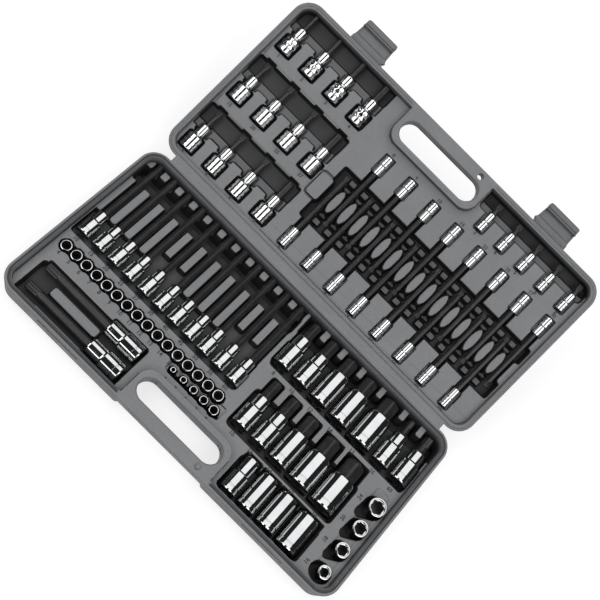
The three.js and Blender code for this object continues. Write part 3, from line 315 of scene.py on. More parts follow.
def disc(x, d, centre_x, centre_d, radius):
    return np.hypot(x - centre_x, d - centre_d) - radius


def oval(x, d, centre_x, centre_d, radius_x, radius_d):
    reach = np.hypot((x - centre_x) / radius_x, (d - centre_d) / radius_d)
    return (reach - 1) * min(radius_x, radius_d)


def drop_shape(x, d, start, start_radius, end, end_radius):
    """Two discs and the straight sides that touch both."""
    along = Vector((end[0] - start[0], end[1] - start[1]))
    length = along.length
    along.normalize()
    x, d = x - start[0], d - start[1]
    u, v = x * along.x + d * along.y, np.abs(x * -along.y + d * along.x)
    lean = (start_radius - end_radius) / length
    rise = sqrt(1 - lean * lean)
    side, straight = u * rise - v * lean, v * rise + u * lean - start_radius
    near, far = np.hypot(u, v) - start_radius, np.hypot(u - length, v) - end_radius
    return np.where(side < 0, near, np.where(side > length * rise, far, straight))


def case_inset(x, d):
    """How far inside the case's outline a point is."""
    back, front = (rounded_box(x, d, -WIDTH / 2, WIDTH / 2, 0, DEPTH, r) for r in (BACK_CORNER, FRONT_CORNER))
    return -np.where(d < DEPTH / 2, back, front)


def slot_outline(x, d):
    return rounded_box(x, d, -SLOT_LENGTH / 2, SLOT_LENGTH / 2, SLOT_BACK, SLOT_FRONT, SLOT_WIDTH / 2)


def edge_drop(distance, radius):
    """How far a rounded edge of that radius falls away, at a distance in from it."""
    inner = np.clip(radius - distance, 0, radius)
    return radius - np.sqrt(radius * radius - inner * inner)


def line_at(distance, centre, half_width):
    """1 along a line that keeps its distance from an outline, with steep flanks."""
    return np.clip((half_width - np.abs(distance - centre)) / LINE_FLANK + 1, 0, 1)


# ---------- tools: sizes and places

LONG = dict(drive=8.8, step=17.6, nose=6.8, nose_long=13.2, square=9.5)
EXTRA = dict(drive=11, step=22.4, nose=9.6, nose_long=18.2, square=12.7, bit=5)
HALF_INCH = dict(step=25, nose_long=15, square=12.7)
HEX = dict(step=24, nose_long=15, square=12.7)
STAR = dict(step=22, nose_long=19, square=12.7)
LID_BIT = dict(drive=9.2, step=17.8, nose=6, nose_long=14.6, square=9.5)
THIN = dict(slim=0.5, step=11.5, nose=4.7, nose_long=11.5, square=6.35, bit=2.9)
SHORT = dict(slim=0.4, step=11, nose=4.8, nose_long=11, square=6.35, bit=3.2)
TO_HINGE, FROM_HINGE = (0, -1), (0, 1)


def lying_tool(node, half, family, toward, sizes):
    """A lying tool's sizes and place, read from its solid. `toward` is where its bit points, as (x, d)."""
    back = HALF_FRAME[half].inverted()
    points = [(back @ v.co) / MM for v in frame["nodes"][node].data.vertices]
    low, high = ([pick(p[i] for p in points) for i in range(3)] for pick in (min, max))
    spans = [(low[0], high[0]), sorted((SIDE[half] * low[1] - LEAF, SIDE[half] * high[1] - LEAF))]
    plain = {"bit": None, "knurled": False, "slim": 0}
    tool = Record(**{**plain, **family, **sizes}, name=node, node=node, half=half, toward=toward)
    tool.nose_end = tool.step + tool.nose_long
    along = 0 if toward[0] else 1
    (start, stop), (left, right) = spans[along], spans[1 - along]
    place = (start if toward[along] > 0 else stop, (left + right) / 2)
    tool.x, tool.d = place if along == 0 else place[::-1]
    tool.h = (low[2] + high[2]) / 2
    tool.long, tool.drive = stop - start, (right - left) / 2 - tool.slim
    return tool


def row_of(name, count, half, family, toward, **each):
    """A row of lying tools. What `each` names has one size for every tool."""
    digits = len(str(count))
    return [
        lying_tool(f"{name}_{i + 1:0{digits}d}", half, family, toward, {size: each[size][i] for size in each})
        for i in range(count)
    ]


long_bits = row_of(
    "long_bit_socket", 11, "base", LONG, TO_HINGE, bit=[3.7 + 0.04 * i for i in range(11)])
half_inch_bits = row_of(
    "half_inch_bit_socket", 7, "base", HALF_INCH, TO_HINGE,
    nose=[9.2, 9.4, 12, 12.9, 14.5, 8.6, 9], bit=[6.2, 7.2, 8.6, 9.2, 11, 3.9, 5.4])
hex_bits = row_of(
    "hex_bit_socket", 5, "base", HEX, TO_HINGE,
    nose=[9, 9.4, 12.4, 14.2, 15.3], bit=[6.2, 7.2, 8.8, 10.6, 12.6])
star_sockets = row_of("star_socket", 4, "base", STAR, TO_HINGE, nose=[9, 11, 12.2, 13.4])
extra_bits = row_of("extra_long_bit_socket", 2, "base", EXTRA, (-1, 0))
lid_bits = row_of(
    "lid_bit_socket", 12, "lid", LID_BIT, FROM_HINGE,
    bit=[2.7, 2.9, 3.1, 4.4, 2.8, 3, 3.1, 5, 2.7, 3.1, 3.5, 4.8], knurled=[i > 7 for i in range(12)])
thin_far = row_of("thin_bit_socket", 8, "lid", THIN, TO_HINGE)
short_bits = row_of("short_bit_socket", 5, "lid", SHORT, FROM_HINGE)

# The thin bits on the hinge side lie half way between those on the far side, pointing the other way.
# They have no solid of their own.
thin_pitch = (thin_far[1].x - thin_far[0].x) / 2
thin_near = [copy(tool) for tool in thin_far]
for i, tool in enumerate(thin_near):
    tool.x -= thin_pitch
    tool.d, tool.toward = lid_bits[0].d, FROM_HINGE
    tool.name, tool.node = f"thin_bit_hinge_side_{i + 1}", None

# Upright sockets, seen end-on: small ones, with a mini one beside each of the last, and large ones
SMALL_COUNT, SMALL_D, LARGE_X = 16, 143.3, 199.6
small_first, small_last = -200.35, 8.95
small_step, small_rise = (small_last - small_first) / (SMALL_COUNT - 1), 2.8 / (SMALL_COUNT - 1)
small_uprights = [
    Record(x=small_first + small_step * i, d=SMALL_D, radius=5.9, bore=4.75, top=-9.4 + small_rise * i)
    for i in range(SMALL_COUNT)
]
mini_uprights = [
    Record(x=near.x + small_step / 2, d=SMALL_D + 13.3, radius=radius, bore=radius - 1.1, top=-8)
    for near, radius in zip(small_uprights[11:], [3, 3.6, 4.2, 4.6, 5.1])
]
large_uprights = [
    Record(x=LARGE_X, d=109.8 + 28.4 * i, radius=radius, bore=radius - 1.7, top=-1.6)
    for i, radius in enumerate([9.7, 8.4, 7.8, 7])
]


# ---------- the trays


class Tray:
    """The inner surface of one half: its height at each point (x, d) of a grid."""

    def __init__(self, half, x, d):
        self.half, self.x, self.d = half, x, d
        self.top = -SIZES[half]["drop"]
        self.height = np.full_like(x, self.top)

    def box(self, x0, x1, d0, d1, radius=3.0):
        return rounded_box(self.x, self.d, x0, x1, d0, d1, radius)

    def over(self, tool, start, stop, half, radius=1.0):
        """A box over a lying tool, from `start` to `stop` out from its drive face."""
        ends = sorted(tool.d + tool.toward[1] * s for s in (start, stop))
        return self.box(tool.x - half, tool.x + half, *ends, radius)

    def sink(self, outline, floor, mouth=None, slope=POCKET_SLOPE):
        """Sinks a pocket: `outline` is its signed distance at the mouth's level, or a box's arguments."""
        outline = self.box(*outline) if isinstance(outline, tuple) else outline
        mouth = self.top if mouth is None else mouth
        self.height = np.minimum(self.height, np.maximum(floor, mouth + slope * outline))

    def stand(self, outline, rise, slope=POCKET_SLOPE):
        """Stands an island in a pocket. Its top is `rise` above the tray's."""
        outline = self.box(*outline) if isinstance(outline, tuple) else outline
        top = self.top + rise
        self.height = np.maximum(self.height, np.minimum(top, top - slope * outline))

    def cradle(self, tools, spare=0.35, end=1.4):
        """Sinks a round-bottomed seat for each lying tool's drive end and nose, and for its bit."""
        for tool in tools:
            spans = [(-end, tool.step + end, tool.drive), (tool.step, tool.nose_end + end, tool.nose)]
            if tool.bit:
                spans.append((tool.nose_end, tool.long + end, tool.bit + 0.6))
            along, across = (self.d - tool.d) * tool.toward[1], np.abs(self.x - tool.x)
            if tool.toward[0]:
                along, across = (self.x - tool.x) * tool.toward[0], np.abs(self.d - tool.d)
            for start, stop, radius in spans:
                reach = radius + spare
                wall = np.maximum(np.maximum(start - along, along - stop), across - reach)
                bottom = tool.h - np.sqrt(np.maximum(reach * reach - across * across, 0))
                self.sink(wall, bottom, tool.h, 8)

    def seat_mouth(self, tool, rise):
        """Opens the tray round a lying tool, apart from two clips that hold it behind its step."""
        step, wide, slim = tool.step, tool.drive + 1.5, tool.nose + 1.5
        mouth = np.minimum(
            self.over(tool, -1.8, step + 0.6, wide), self.over(tool, step, tool.nose_end + 1.2, slim))
        self.sink(mouth, tool.h - 4.5, self.top + rise)
        self.stand(self.over(tool, step + 0.8, step + 3.8, wide + 1, 0.6), rise)

    def soften(self):
        """Rounds every edge off a little."""
        wide = np.pad(self.height, 1, mode="edge")
        height = (wide[:-2, 1:-1] + 2 * wide[1:-1, 1:-1] + wide[2:, 1:-1]) / 4
        wide = np.pad(height, 1, mode="edge")
        self.height = (wide[1:-1, :-2] + 2 * wide[1:-1, 1:-1] + wide[1:-1, 2:]) / 4

    def add_rim(self):
        """Puts the rim on, and the land about the handle's slot, which stands as high."""
        inset, slot = case_inset(self.x, self.d), slot_outline(self.x, self.d)
        land = self.box(-LAND_HALF, LAND_HALF, LAND_BACK, DEPTH + 60, 14)
        wall = RIM_TOP - WALL_SLOPE * np.minimum(inset - RIM_WIDTH, land)
        height = np.maximum(self.height, np.minimum(RIM_TOP, wall))
        height = height - edge_drop(inset, 2.0) - edge_drop(slot, 2.2)
        height = height - edge_drop(np.abs(inset - RIM_WIDTH), 0.6) * (land > 0)
        beside_bar = np.where(self.d > DEPTH / 2, np.clip((np.abs(self.x) - BAR_HALF) / 3, 0, 1), 1)
        for centre, half_width, depth in RIM_LINES[self.half]:
            height = height - depth * line_at(inset, centre, half_width) * beside_bar
        self.height = height - LAND_LINE[self.half] * line_at(-land, 2.2, 0.3) * (inset > RIM_WIDTH)


def gaps(tools):
    """The middle of each gap between neighbours in a row."""
    return [(a.x + a.drive + b.x - b.drive) / 2 for a, b in zip(tools, tools[1:])]


def long_bit_area(tray):
    """Sockets in a trough at the front, shafts in slots between islands, and a cross trough."""
    left, right, first = -212, 15.6, long_bits[0]
    pitch = long_bits[1].x - first.x
    tray.sink((-WIDTH / 2 + 9, right, 6, first.d + 3.8), -17)
    tray.sink((left, right, 19.5, 30, 2), -25, -15, 4)
    tray.sink((left, right, 28, 38.5, 2), -20, -15, 4)
    for i in range(len(long_bits) + 1):
        centre = first.x + pitch * (i - 0.5)
        ends = (-214, -205) if i == 0 else (centre - 4.65, centre + 4.65)
        if i == len(long_bits):
            ends = (right - 0.4, right + 5)
        stop = 75.5 if i in (4, 5, 9, 10) else 92.5
        tray.stand((*ends, 40, stop, 1.6), 0.6)
        tray.stand((*ends, 9.5, 19, 1.6), 0.6)
    tray.cradle(long_bits)
    ridge = np.maximum(np.abs(tray.d - 135.0) - 0.7, tray.box(-207, right + 3, 120, 150))
    tray.stand(ridge, 0.9, 2)


def half_inch_area(tray):
    left, face = 22.3, half_inch_bits[0].d
    tray.sink((left, WIDTH / 2 - 9.8, 6, face + 6, 4), -19.5)
    tray.sink((left, 212, 6, face - 41), -24.5, -18, 4)
    for centre in gaps(half_inch_bits):
        tray.stand((centre - 4.2, centre + 4.2, 4, 20.5, 1.8), 0.8)
    tray.cradle(half_inch_bits)


def hex_area(tray):
    first, last = hex_bits[0], hex_bits[-1]
    left, right, face = first.x - first.drive - 1.2, last.x + last.drive + 1.4, first.d
    tray.sink((left, right, face - 43, face + 6.5, 4), -19.5)
    for tool in hex_bits:
        reach = tool.bit + 1.6
        tray.sink((tool.x - reach, tool.x + reach, tool.d - tool.long - 1.6, face - 38), -20)
    tray.cradle(hex_bits)


def star_area(tray):
    first, last = star_sockets[0], star_sockets[-1]
    left, right = first.x - first.drive - 2.2, last.x + last.drive + 2.2
    pocket = tray.box(left, right, first.d - 37, first.d + 3, 4)
    for tool in star_sockets:
        reach = tool.drive + 0.8
        body = tray.box(tool.x - reach, tool.x + reach, tool.d - 42.2, tool.d + 3.4, 5)
        pocket = np.minimum(pocket, body)
    tray.sink(pocket, -21)
    tray.cradle(star_sockets)


def extra_long_area(tray):
    first, back, front = extra_bits[0], extra_bits[0].d, extra_bits[1].d
    nose = first.x - first.nose_end
    sockets = tray.box(nose - 1, first.x + 3.2, back - 10.9, front + 14)
    shafts = tray.box(-203, nose + 4, back - 2.4, front + 14.4, 4)
    tray.sink(np.minimum(sockets, shafts), -19.5)
    tray.stand((-176, nose - 1.5, back + 9, front - 6.4, 2.5), 0.4)
    tray.stand((-177, nose - 1.5, front + 10, front + 20, 2), 0.4)
    tray.cradle(extra_bits)


def upright_area(tray):
    """Three troughs that the upright sockets stand in: the large ones in wells with tails."""
    def around(uprights, outline, spare):
        for socket in uprights:
            outline = np.minimum(outline, disc(tray.x, tray.d, socket.x, socket.d, socket.radius + spare))
        return outline

    trough = tray.box(small_first - 6, small_last + 8, SMALL_D - 5.6, SMALL_D + 5.6, 5)
    tray.sink(around(small_uprights, trough, 1.2), UPRIGHT_FLOOR)
    left, right = mini_uprights[0].x, mini_uprights[-1].x
    tray.sink((left - 7, right + 9, 146, 161, 2), tray.top - 2.2)
    trough = tray.box(left - 4, right + 8, 157.5, 161.5, 2)
    tray.sink(around(mini_uprights, trough, 1.5), UPRIGHT_FLOOR)
    tray.sink((LARGE_X - 10.6, LARGE_X + 6.4, 90, 205, 4), tray.top - 1.6)
    for socket in large_uprights[:-1]:
        tail, reach = (socket.x - socket.radius, socket.d + socket.radius * 1.45), socket.radius + 2.2
        well = drop_shape(tray.x, tray.d, (socket.x - 1, socket.d + 0.6), reach, tail, reach * 0.42)
        tray.sink(well, UPRIGHT_FLOOR)
    last = large_uprights[-1]
    well = oval(tray.x, tray.d, last.x - 2, last.d + 1, last.radius + 4.6, last.radius + 3.2)
    tray.sink(well, UPRIGHT_FLOOR)


def lid_bit_area(tray):
    """Three rows of four: sockets between islands, a deep trough for the bits, and label strips."""
    left, right = -WIDTH / 2 + 8.4, -81.3
    for row in range(3):
        tools = lid_bits[4 * row:4 * row + 4]
        start = tools[0].d
        outer = start + 55.2
        tray.sink((left, right, start - 0.6, outer), -13.2)
        tray.sink((left, right, start + 35, outer, 2), -17.5, -13)
        for tool in tools:
            tray.sink((tool.x - 6, tool.x + 6, outer - 6, outer + 3, 1.5), -17)
        islands = [(left - 4, tools[0].x - 8.4)]
        islands += [(middle - 7.6, middle + 7.6) for middle in gaps(tools)]
        for ends in islands:
            tray.stand((*ends, start - 4, start + 26, 2), 0.5)
        for tool in tools:
            tray.seat_mouth(tool, 0.5)
            tray.sink(tray.over(tool, tool.nose_end, 48, tool.bit + 1.6), -17)
            tray.cradle([tool])
        strip = tray.box(left + 1.5, right - 1.5, start - 13.8 if row else 7.5, start - 1.8, 2)
        for tool in tools:
            strip = np.maximum(strip, -tray.over(tool, -1.9, 0, tool.drive + 1.5))
        tray.stand(strip, 0.9, 6)


def thin_bit_area(tray):
    """Two rows of seats that face each other over a trough with oval pegs."""
    tools = sorted(thin_near + thin_far, key=lambda tool: tool.x)
    first, last = tools[0].x, tools[-1].x
    tray.sink((first - 10.5, WIDTH / 2 - 9.6, 49, 119.2), -20)
    for tool in tools:
        span = (30, 52) if tool.toward == FROM_HINGE else (116, 137)
        tray.sink((tool.x - 4.8, tool.x + 4.8, *span, 1), -17)
        tray.sink(tray.over(tool, -1.5, tool.nose_end, tool.drive + 1.3), tool.h - 2.5)
    for i in range(len(tools) - 1):
        middle = first + thin_pitch * (i + 0.5)
        for d0, d1, rise in ((53, 60, -5.5), (63, 67, -7), (101, 105, -7), (108, 115, -5.5)):
            tray.stand((middle - 4.6, middle + 4.6, d0, d1, 1), rise)
        tray.stand(oval(tray.x, tray.d, middle, 84, 5.1, 14.4), 0.8, 9)
    left_island = tray.box(first - 24, first - 7.2, 70, 100, 4)
    right_island = tray.box(last + 4.6, WIDTH / 2, 70, 100, 4)
    tray.sink(np.abs(left_island - 0.6) - 0.6, -12)
    tray.stand(np.minimum(left_island, right_island), 0.4)
    tray.cradle(tools)


def short_bit_area(tray):
    left, right, far = 62.7, WIDTH / 2 - 9.2, DEPTH - 6
    tray.sink((left, right, 189.4, far, 4), -13.2)
    tray.sink((left, right, 197.5, far), -19, -13)
    for tool in short_bits:
        tray.sink(tray.over(tool, -1.5, 48, tool.drive + 1.3), tool.h - 2.5)
    tray.cradle(short_bits)


def raise_right_side(tray):
    """Lifts the lid's level beside the rows of four by a small step."""
    step = tray.box(-80.6, WIDTH / 2, 20, 162)
    raised = tray.height + 0.5 * np.clip(-step / 1.5, 0, 1)
    tray.height = np.where(tray.height > tray.top - 0.3, raised, tray.height)


AREAS = {
    "base": (long_bit_area, half_inch_area, hex_area, star_area, extra_long_area, upright_area),
    "lid": (lid_bit_area, thin_bit_area, short_bit_area, raise_right_side),
}


def tray_height(half, x, d):
    tray = Tray(half, x, d)
    for step in (*AREAS[half], Tray.soften, Tray.add_rim):
        step(tray)
    return tray.height


# ---------- the moulded halves


def under_side(height, x, d, half):
    """The outside of a half: the shell's height, raised behind the handle, with feet on the base."""
    out_x, out_d = np.abs(x) - RELIEF_HALF, LAND_BACK - d
    outside = np.hypot(np.maximum(out_x, 0), np.maximum(out_d, 0))
    bevel = np.maximum(HANDLE_BEVEL - (DEPTH - d), 0)
    bevel += np.where(d > SLOT_FRONT, np.maximum(HANDLE_BEVEL - (d - SLOT_FRONT), 0), 0)
    lip = edge_drop(slot_outline(x, d), 2.0)
    behind_handle = -HANDLE_HALF - RELIEF_LEAN * outside + np.where(outside > 0, 0, bevel + 0.5 * lip)
    height = np.maximum(height, behind_handle)
    if half == "lid":
        return height
    edge = WALL_DRAFT + SIZES[half]["round"] + 1.5
    outer = WIDTH / 2 - edge - 14
    pads = [rounded_box(np.abs(x), d, outer - 40, outer, row, row + 12) for row in (edge, DEPTH - edge - 12)]
    for pad in (*pads, disc(x, d, 0, DEPTH / 2, 12)):
        height = height - FOOT_HEIGHT * np.clip(-pad / 0.8, 0, 1)
    return height


def grid_columns():
    """Columns of the surface grid as shares of half the width, closer together across the rim."""
    half, fine = WIDTH / 2, 11
    middle = np.linspace(0, half - fine, int((half - fine) / GRID) + 1)
    edge = np.linspace(half - fine, half, int(2 * fine / GRID) + 1)[1:]
    side = np.concatenate([middle, edge]) / half
    return np.concatenate([-side[:0:-1], side])


def grid_points(columns, inset):
    """The grid's x and d with the outline drawn in by `inset`. Its rows follow the round corners."""
    corners = []
    for radius in (BACK_CORNER, FRONT_CORNER):
        steps = int(radius * pi / 2 / GRID) + 1
        angle = np.arange(steps + 1) / steps * pi / 2
        bend = radius - inset
        corners.append((WIDTH / 2 - radius + bend * np.sin(angle), radius - bend * np.cos(angle)))
    (back_reach, back_d), (front_reach, front_d) = corners
    straight = np.arange(BACK_CORNER, DEPTH - FRONT_CORNER, GRID)[1:]
    reach = np.concatenate([back_reach, np.full_like(straight, WIDTH / 2 - inset), front_reach[::-1]])
    d = np.concatenate([back_d, straight, DEPTH - front_d[::-1]])
    return np.outer(reach, columns), np.repeat(d[:, None], len(columns), 1)


def around_edge(index):
    """The outermost entries of an array, in turn, anticlockwise seen from above."""
    return np.concatenate([index[0, :-1], index[:-1, -1], index[-1, :0:-1], index[:0:-1, 0]])


def moulded_half(half):
    """One half as a closed mesh: the tray's surface, the outer wall and the outside, sewn together."""
    columns = grid_columns()
    x, d = grid_points(columns, 0)
    index = np.arange(x.size).reshape(x.shape)
    edge = around_edge(index)
    layers = [np.stack([x.ravel(), d.ravel(), tray_height(half, x, d).ravel()], 1)]
    loops = [edge]

    bend = SIZES[half]["round"]
    straight = SIZES[half]["height"] - bend
    profile = [(WALL_DRAFT * k / 6, -straight * k / 6) for k in range(1, 6)]
    turn = [i / 9 * pi / 2 for i in range(10)]
    profile += [(WALL_DRAFT + bend * (1 - cos(a)), -straight - bend * sin(a)) for a in turn]
    for n, (inset, level) in enumerate(profile):
        x, d = (part.ravel() for part in grid_points(columns, inset))
        on_wall = n < len(profile) - 1
        if on_wall:
            x, d = x[edge], d[edge]
        start = sum(len(layer) for layer in layers)
        loops.append(start + (np.arange(len(edge)) if on_wall else edge))
        level = np.minimum(under_side(np.full_like(x, level), x, d, half), RIM_TOP - 2)
        layers.append(np.stack([x, d, level], 1))

    quads = np.stack([index[:-1, :-1], index[:-1, 1:], index[1:, 1:], index[1:, :-1]], -1).reshape(-1, 4)
    faces = [quads, quads[:, ::-1] + start]
    for upper, lower in zip(loops, loops[1:]):
        faces.append(np.stack([upper, lower, np.roll(lower, -1), np.roll(upper, -1)], -1))
    faces = np.concatenate(faces)[:, ::SIDE[half]]
    points = np.concatenate(layers)
    points[:, 1] = SIDE[half] * (LEAF + points[:, 1])
    mesh = mesh_from(f"{half}_shell", (points * MM).tolist(), faces.tolist())
    shell = linked(mesh.name, mesh, case_plastic)
    modified(shell, "DECIMATE", ratio=KEEP)
    return shell


def cut(shell, half, outline, low, high):
    """Takes an upright prism from a half. Its outline is given as points (x, d)."""
    mesh = prism("cutter", *([at(half, x, d, h) for x, d in outline] for h in (low, high)))
    cutter = linked("cutter", mesh, case_plastic)
    modified(shell, "BOOLEAN", operation="DIFFERENCE", solver="MANIFOLD", object=cutter)
    bpy.data.objects.remove(cutter)


def values(items, name, size=1, kind=np.float64):
    """One property of all of a mesh's vertices, corners or faces, as an array."""
    found = np.empty(size * len(items), dtype=kind)
    items.foreach_get(name, found)
    return found


def mark_sunk(mesh, drop):
    """Tells the plastic how much painted shade each face of the tray gets: 0 at a pocket's mouth, 1 well
    below; steep walls and the rim's grooves get some too.
    """
    mesh.update()
    corners = values(mesh.loops, "vertex_index", kind=np.int32)
    x, y, h = (values(mesh.vertices, "co", 3).reshape(-1, 3)[corners] / MM).T
    sides = values(mesh.polygons, "loop_total", kind=np.int32)
    up = np.repeat(values(mesh.polygons, "normal", 3)[2::3], sides)
    inset = case_inset(x, np.abs(y) - LEAF)
    # Painted shade: darker with depth below the tray, on steep walls and in the rim's grooves.
    floor_sunk = np.clip((-drop - 2.0 - h) / SUNK_DEPTH, 0, 1)
    wall_sunk = np.clip((RIM_TOP - 2.5 - h) / SUNK_DEPTH * 1.2, 0, 0.9)
    sunk = np.where(up < 0.6, np.maximum(floor_sunk, wall_sunk), floor_sunk)
    groove = np.clip(RIM_TOP - 0.7 - h, 0, 1) * 0.5 * ((inset > 2.6) & (inset < RIM_WIDTH - 0.7))
    sunk = np.where(inset > RIM_WIDTH - 0.7, sunk, groove) * (up > 0)
    attribute = mesh.attributes.new(SUNK, "FLOAT", "CORNER")
    attribute.data.foreach_set("value", 1 - (1 - sunk) ** 2)


def add_shell(half, cuts):
    shell = moulded_half(half)
    reach, radius = (SLOT_LENGTH - SLOT_WIDTH) / 2, SLOT_WIDTH / 2
    slot = arc(reach, SLOT_MIDDLE, radius, -pi / 2, pi, 24) + arc(-reach, SLOT_MIDDLE, radius, pi / 2, pi, 24)
    for outline, low, high in [(slot, -50, 5), *cuts]:
        cut(shell, half, outline, low, high)
    # Painted shade down the pockets, on their walls and in the rim's grooves
    mark_sunk(shell.data, SIZES[half]["drop"])
    smooth(shell.data, 38)
    shell.data.transform(HALF_FRAME[half])
    modified(shell, "WEIGHTED_NORMAL", keep_sharp=True)
    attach(shell, half)
    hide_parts(f"{half}_half")


# The slits that the latches' hooks catch in, and the hole that the handle's peg goes into
back, front = DEPTH - 3.6, DEPTH + 2
slits = [
    ([(x - 26.5, back), (x + 26.5, back), (x + 26.5, front), (x - 26.5, front)], -9.2, -4.4)
    for x in (-LATCH_X, LATCH_X)
]
add_shell("base", slits)
add_shell("lid", [(arc(PEG_X, PEG_D, 3.6, 0, tau, 24)[:-1], -30, 5)])


# ---------- turned pieces

INSIDE = True              # marks a ring that lies in a bore, painted near black as shade
KNURL_COUNT = 8            # diamonds round a knurled band
KNURL_DEPTH = 0.4
KNURL_RINGS = 14


def circle(radius):
    return lambda angle: radius


def square(across):
    """A square hole, its corners a little blunt."""
    half = across / 2
    return lambda angle: min(half / max(abs(cos(angle)), abs(sin(angle))), half * 1.414 * 0.9)


def hexagon(across_flats_half, blunt=1.11):
    """A hexagon with its corners a little blunt."""
    def radius(angle):
        off = (angle + pi / 6) % (pi / 3) - pi / 6
        return min(across_flats_half / cos(off), across_flats_half * blunt)
    return radius


def lobes(radius, depth, count=6):
    """A rounded star with `count` lobes."""
    return lambda angle: radius * (1 - depth / 2 + depth / 2 * cos(count * angle))


def knurl(radius, along):
    """A slice through a band of raised diamonds."""
    twist = along * KNURL_COUNT / radius

    def outline(angle):
        turns = KNURL_COUNT * angle
        return radius - KNURL_DEPTH * abs(sin((turns + twist) / 2)) * abs(sin((turns - twist) / 2))
    return outline


def turned(*stops):
    """Round rings, from pairs of (along, radius)."""
    return [(along, circle(radius)) for along, radius in stops]


def held(rings, hold=0.25):
    """Adds a ring near each end of a long stretch, so that its shading stays even."""
    kept = [rings[0]]
    for a, b in zip(rings, rings[1:]):
        length = abs(b[0] - a[0])
        for share in (hold / length, 1 - hold / length) if length > 3 * hold else ():
            outline = lambda angle, a=a, b=b, t=share: a[1](angle) * (1 - t) + b[1](angle) * t
            kept.append((a[0] + (b[0] - a[0]) * share, outline, *(a[2:] and b[2:])))
        kept.append(b)
    return kept


def ring_loft(name, rings, sides, material, inner=None):
    """A mesh along +Y through rings of (along, radius by angle), each end closed by a point on the axis.

    What lies between rings marked with a third value, INSIDE, takes the `inner` material: near black, as
    painted shade in the bores.
    """
    rings = held(rings)
    inside = [len(ring) > 2 for ring in rings]
    angles = [tau * i / sides for i in range(sides)]
    points = [
        (outline(a) * sin(a) * MM, along * MM, outline(a) * cos(a) * MM)
        for along, outline, *_ in rings for a in angles
    ]
    first, last, end = len(points), len(points) + 1, len(points) - sides
    points += [(0, rings[0][0] * MM, 0), (0, rings[-1][0] * MM, 0)]
    faces, looks = [], []
    for i in range(sides):
        j = (i + 1) % sides
        faces += [(first, j, i), (last, end + i, end + j)]
        looks += [inside[0], inside[-1]]
        for r in range(len(rings) - 1):
            faces.append((r * sides + i, r * sides + j, (r + 1) * sides + j, (r + 1) * sides + i))
            looks.append(inside[r] and inside[r + 1])
    mesh = mesh_from(name, points, faces)
    mesh.materials.append(material)
    if inner:
        mesh.materials.append(inner)
        mesh.polygons.foreach_set("material_index", np.array(looks, dtype=np.int32))
    smooth(mesh, 28)
    return mesh


def socket_rings(tool):
    """From inside the square drive hole, out over the wide end and the nose, into the nose's hole."""
    wide, nose, step = tool.drive, tool.nose, tool.step
    drop, end, lip = wide - nose, step + tool.nose_long, nose * 0.09
    across = min(tool.square, wide * 1.25)
    edge, groove = wide * 0.11, step * 0.3
    # The square drive hole is painted near black, as shade.
    rings = [(step * 0.62, square(across), INSIDE), (0.8, square(across), INSIDE), (0, square(across + 1.2))]
    rings += turned((0, wide - edge), (edge * 0.3, wide - edge * 0.35), (edge, wide))
    grooves = (groove, step * 0.62) if tool.half == "lid" and not tool.knurled else (groove,)
    for centre in grooves:
        rings += turned((centre - 0.9, wide), (centre - 0.5, wide - 0.6))
        rings += turned((centre + 0.5, wide - 0.6), (centre + 0.9, wide))
    if tool.knurled:
        low, high = groove + 1.4, step - 1.6
        bands = [low + (high - low) * k / KNURL_RINGS for k in range(KNURL_RINGS + 1)]
        rings += [(along, knurl(wide, along)) for along in bands]
    if drop > 0.3:
        rings += turned(
            (step - 0.8, wide), (step - 0.2, wide - 0.25 * drop), (step + 0.35 * drop, wide - 0.8 * drop),
            (step + 0.8 * drop, nose + 0.04 * drop), (step + drop + 0.4, nose))
    rings += turned((end - lip * 1.4, nose), (end - lip * 0.4, nose - lip * 0.3), (end, nose - lip))
    if tool.bit:
        hole = min(tool.bit * 1.13, nose * 0.8)
        return rings + turned((end, hole + 0.5), (end - 0.5, hole), (end - 3, hole))
    star = lobes(nose * 0.76, 0.14)
    # A star socket's nose hole is painted near black, as shade.
    return rings + [
        (end, lobes(nose * 0.8, 0.14)), (end - 1, star, INSIDE), (end - tool.nose_long * 0.8, star, INSIDE)]


def bit_rings(tool, kind):
    """A driver bit from inside the nose to its tip."""
    start = tool.nose_end - 2.6
    tip, size = tool.long, tool.bit
    hexes = hexagon(size * 0.866)
    worked = tip - max(6, size * 2)
    if kind == "hex":
        return [(start, hexes), (tip - size * 0.22, hexes), (tip, hexagon(size * 0.866 * 0.8))]
    if kind == "spline":
        splines = lobes(size * 0.98, 0.12, 12)
        return turned((start, size), (tip - 17, size)) + [
            (tip - 15, splines), (tip - 1.4, splines), (tip, lobes(size * 0.82, 0.12, 12))]
    if kind == "star_thin":
        return [
            (start, hexes), (worked - 2, hexes), *turned((worked - 1, size * 0.86), (worked, size * 0.72)),
            (worked + 1, lobes(size * 0.86, 0.2)), (tip - 0.8, lobes(size * 0.82, 0.2)),
            (tip, lobes(size * 0.6, 0.2))]
    return [
        (start, hexes), (start + 6, hexes), *turned((worked - 1.5, size * 0.86)),
        (worked, lobes(size, 0.2)), (tip - 1, lobes(size * 0.98, 0.2)), (tip, lobes(size * 0.8, 0.2))]


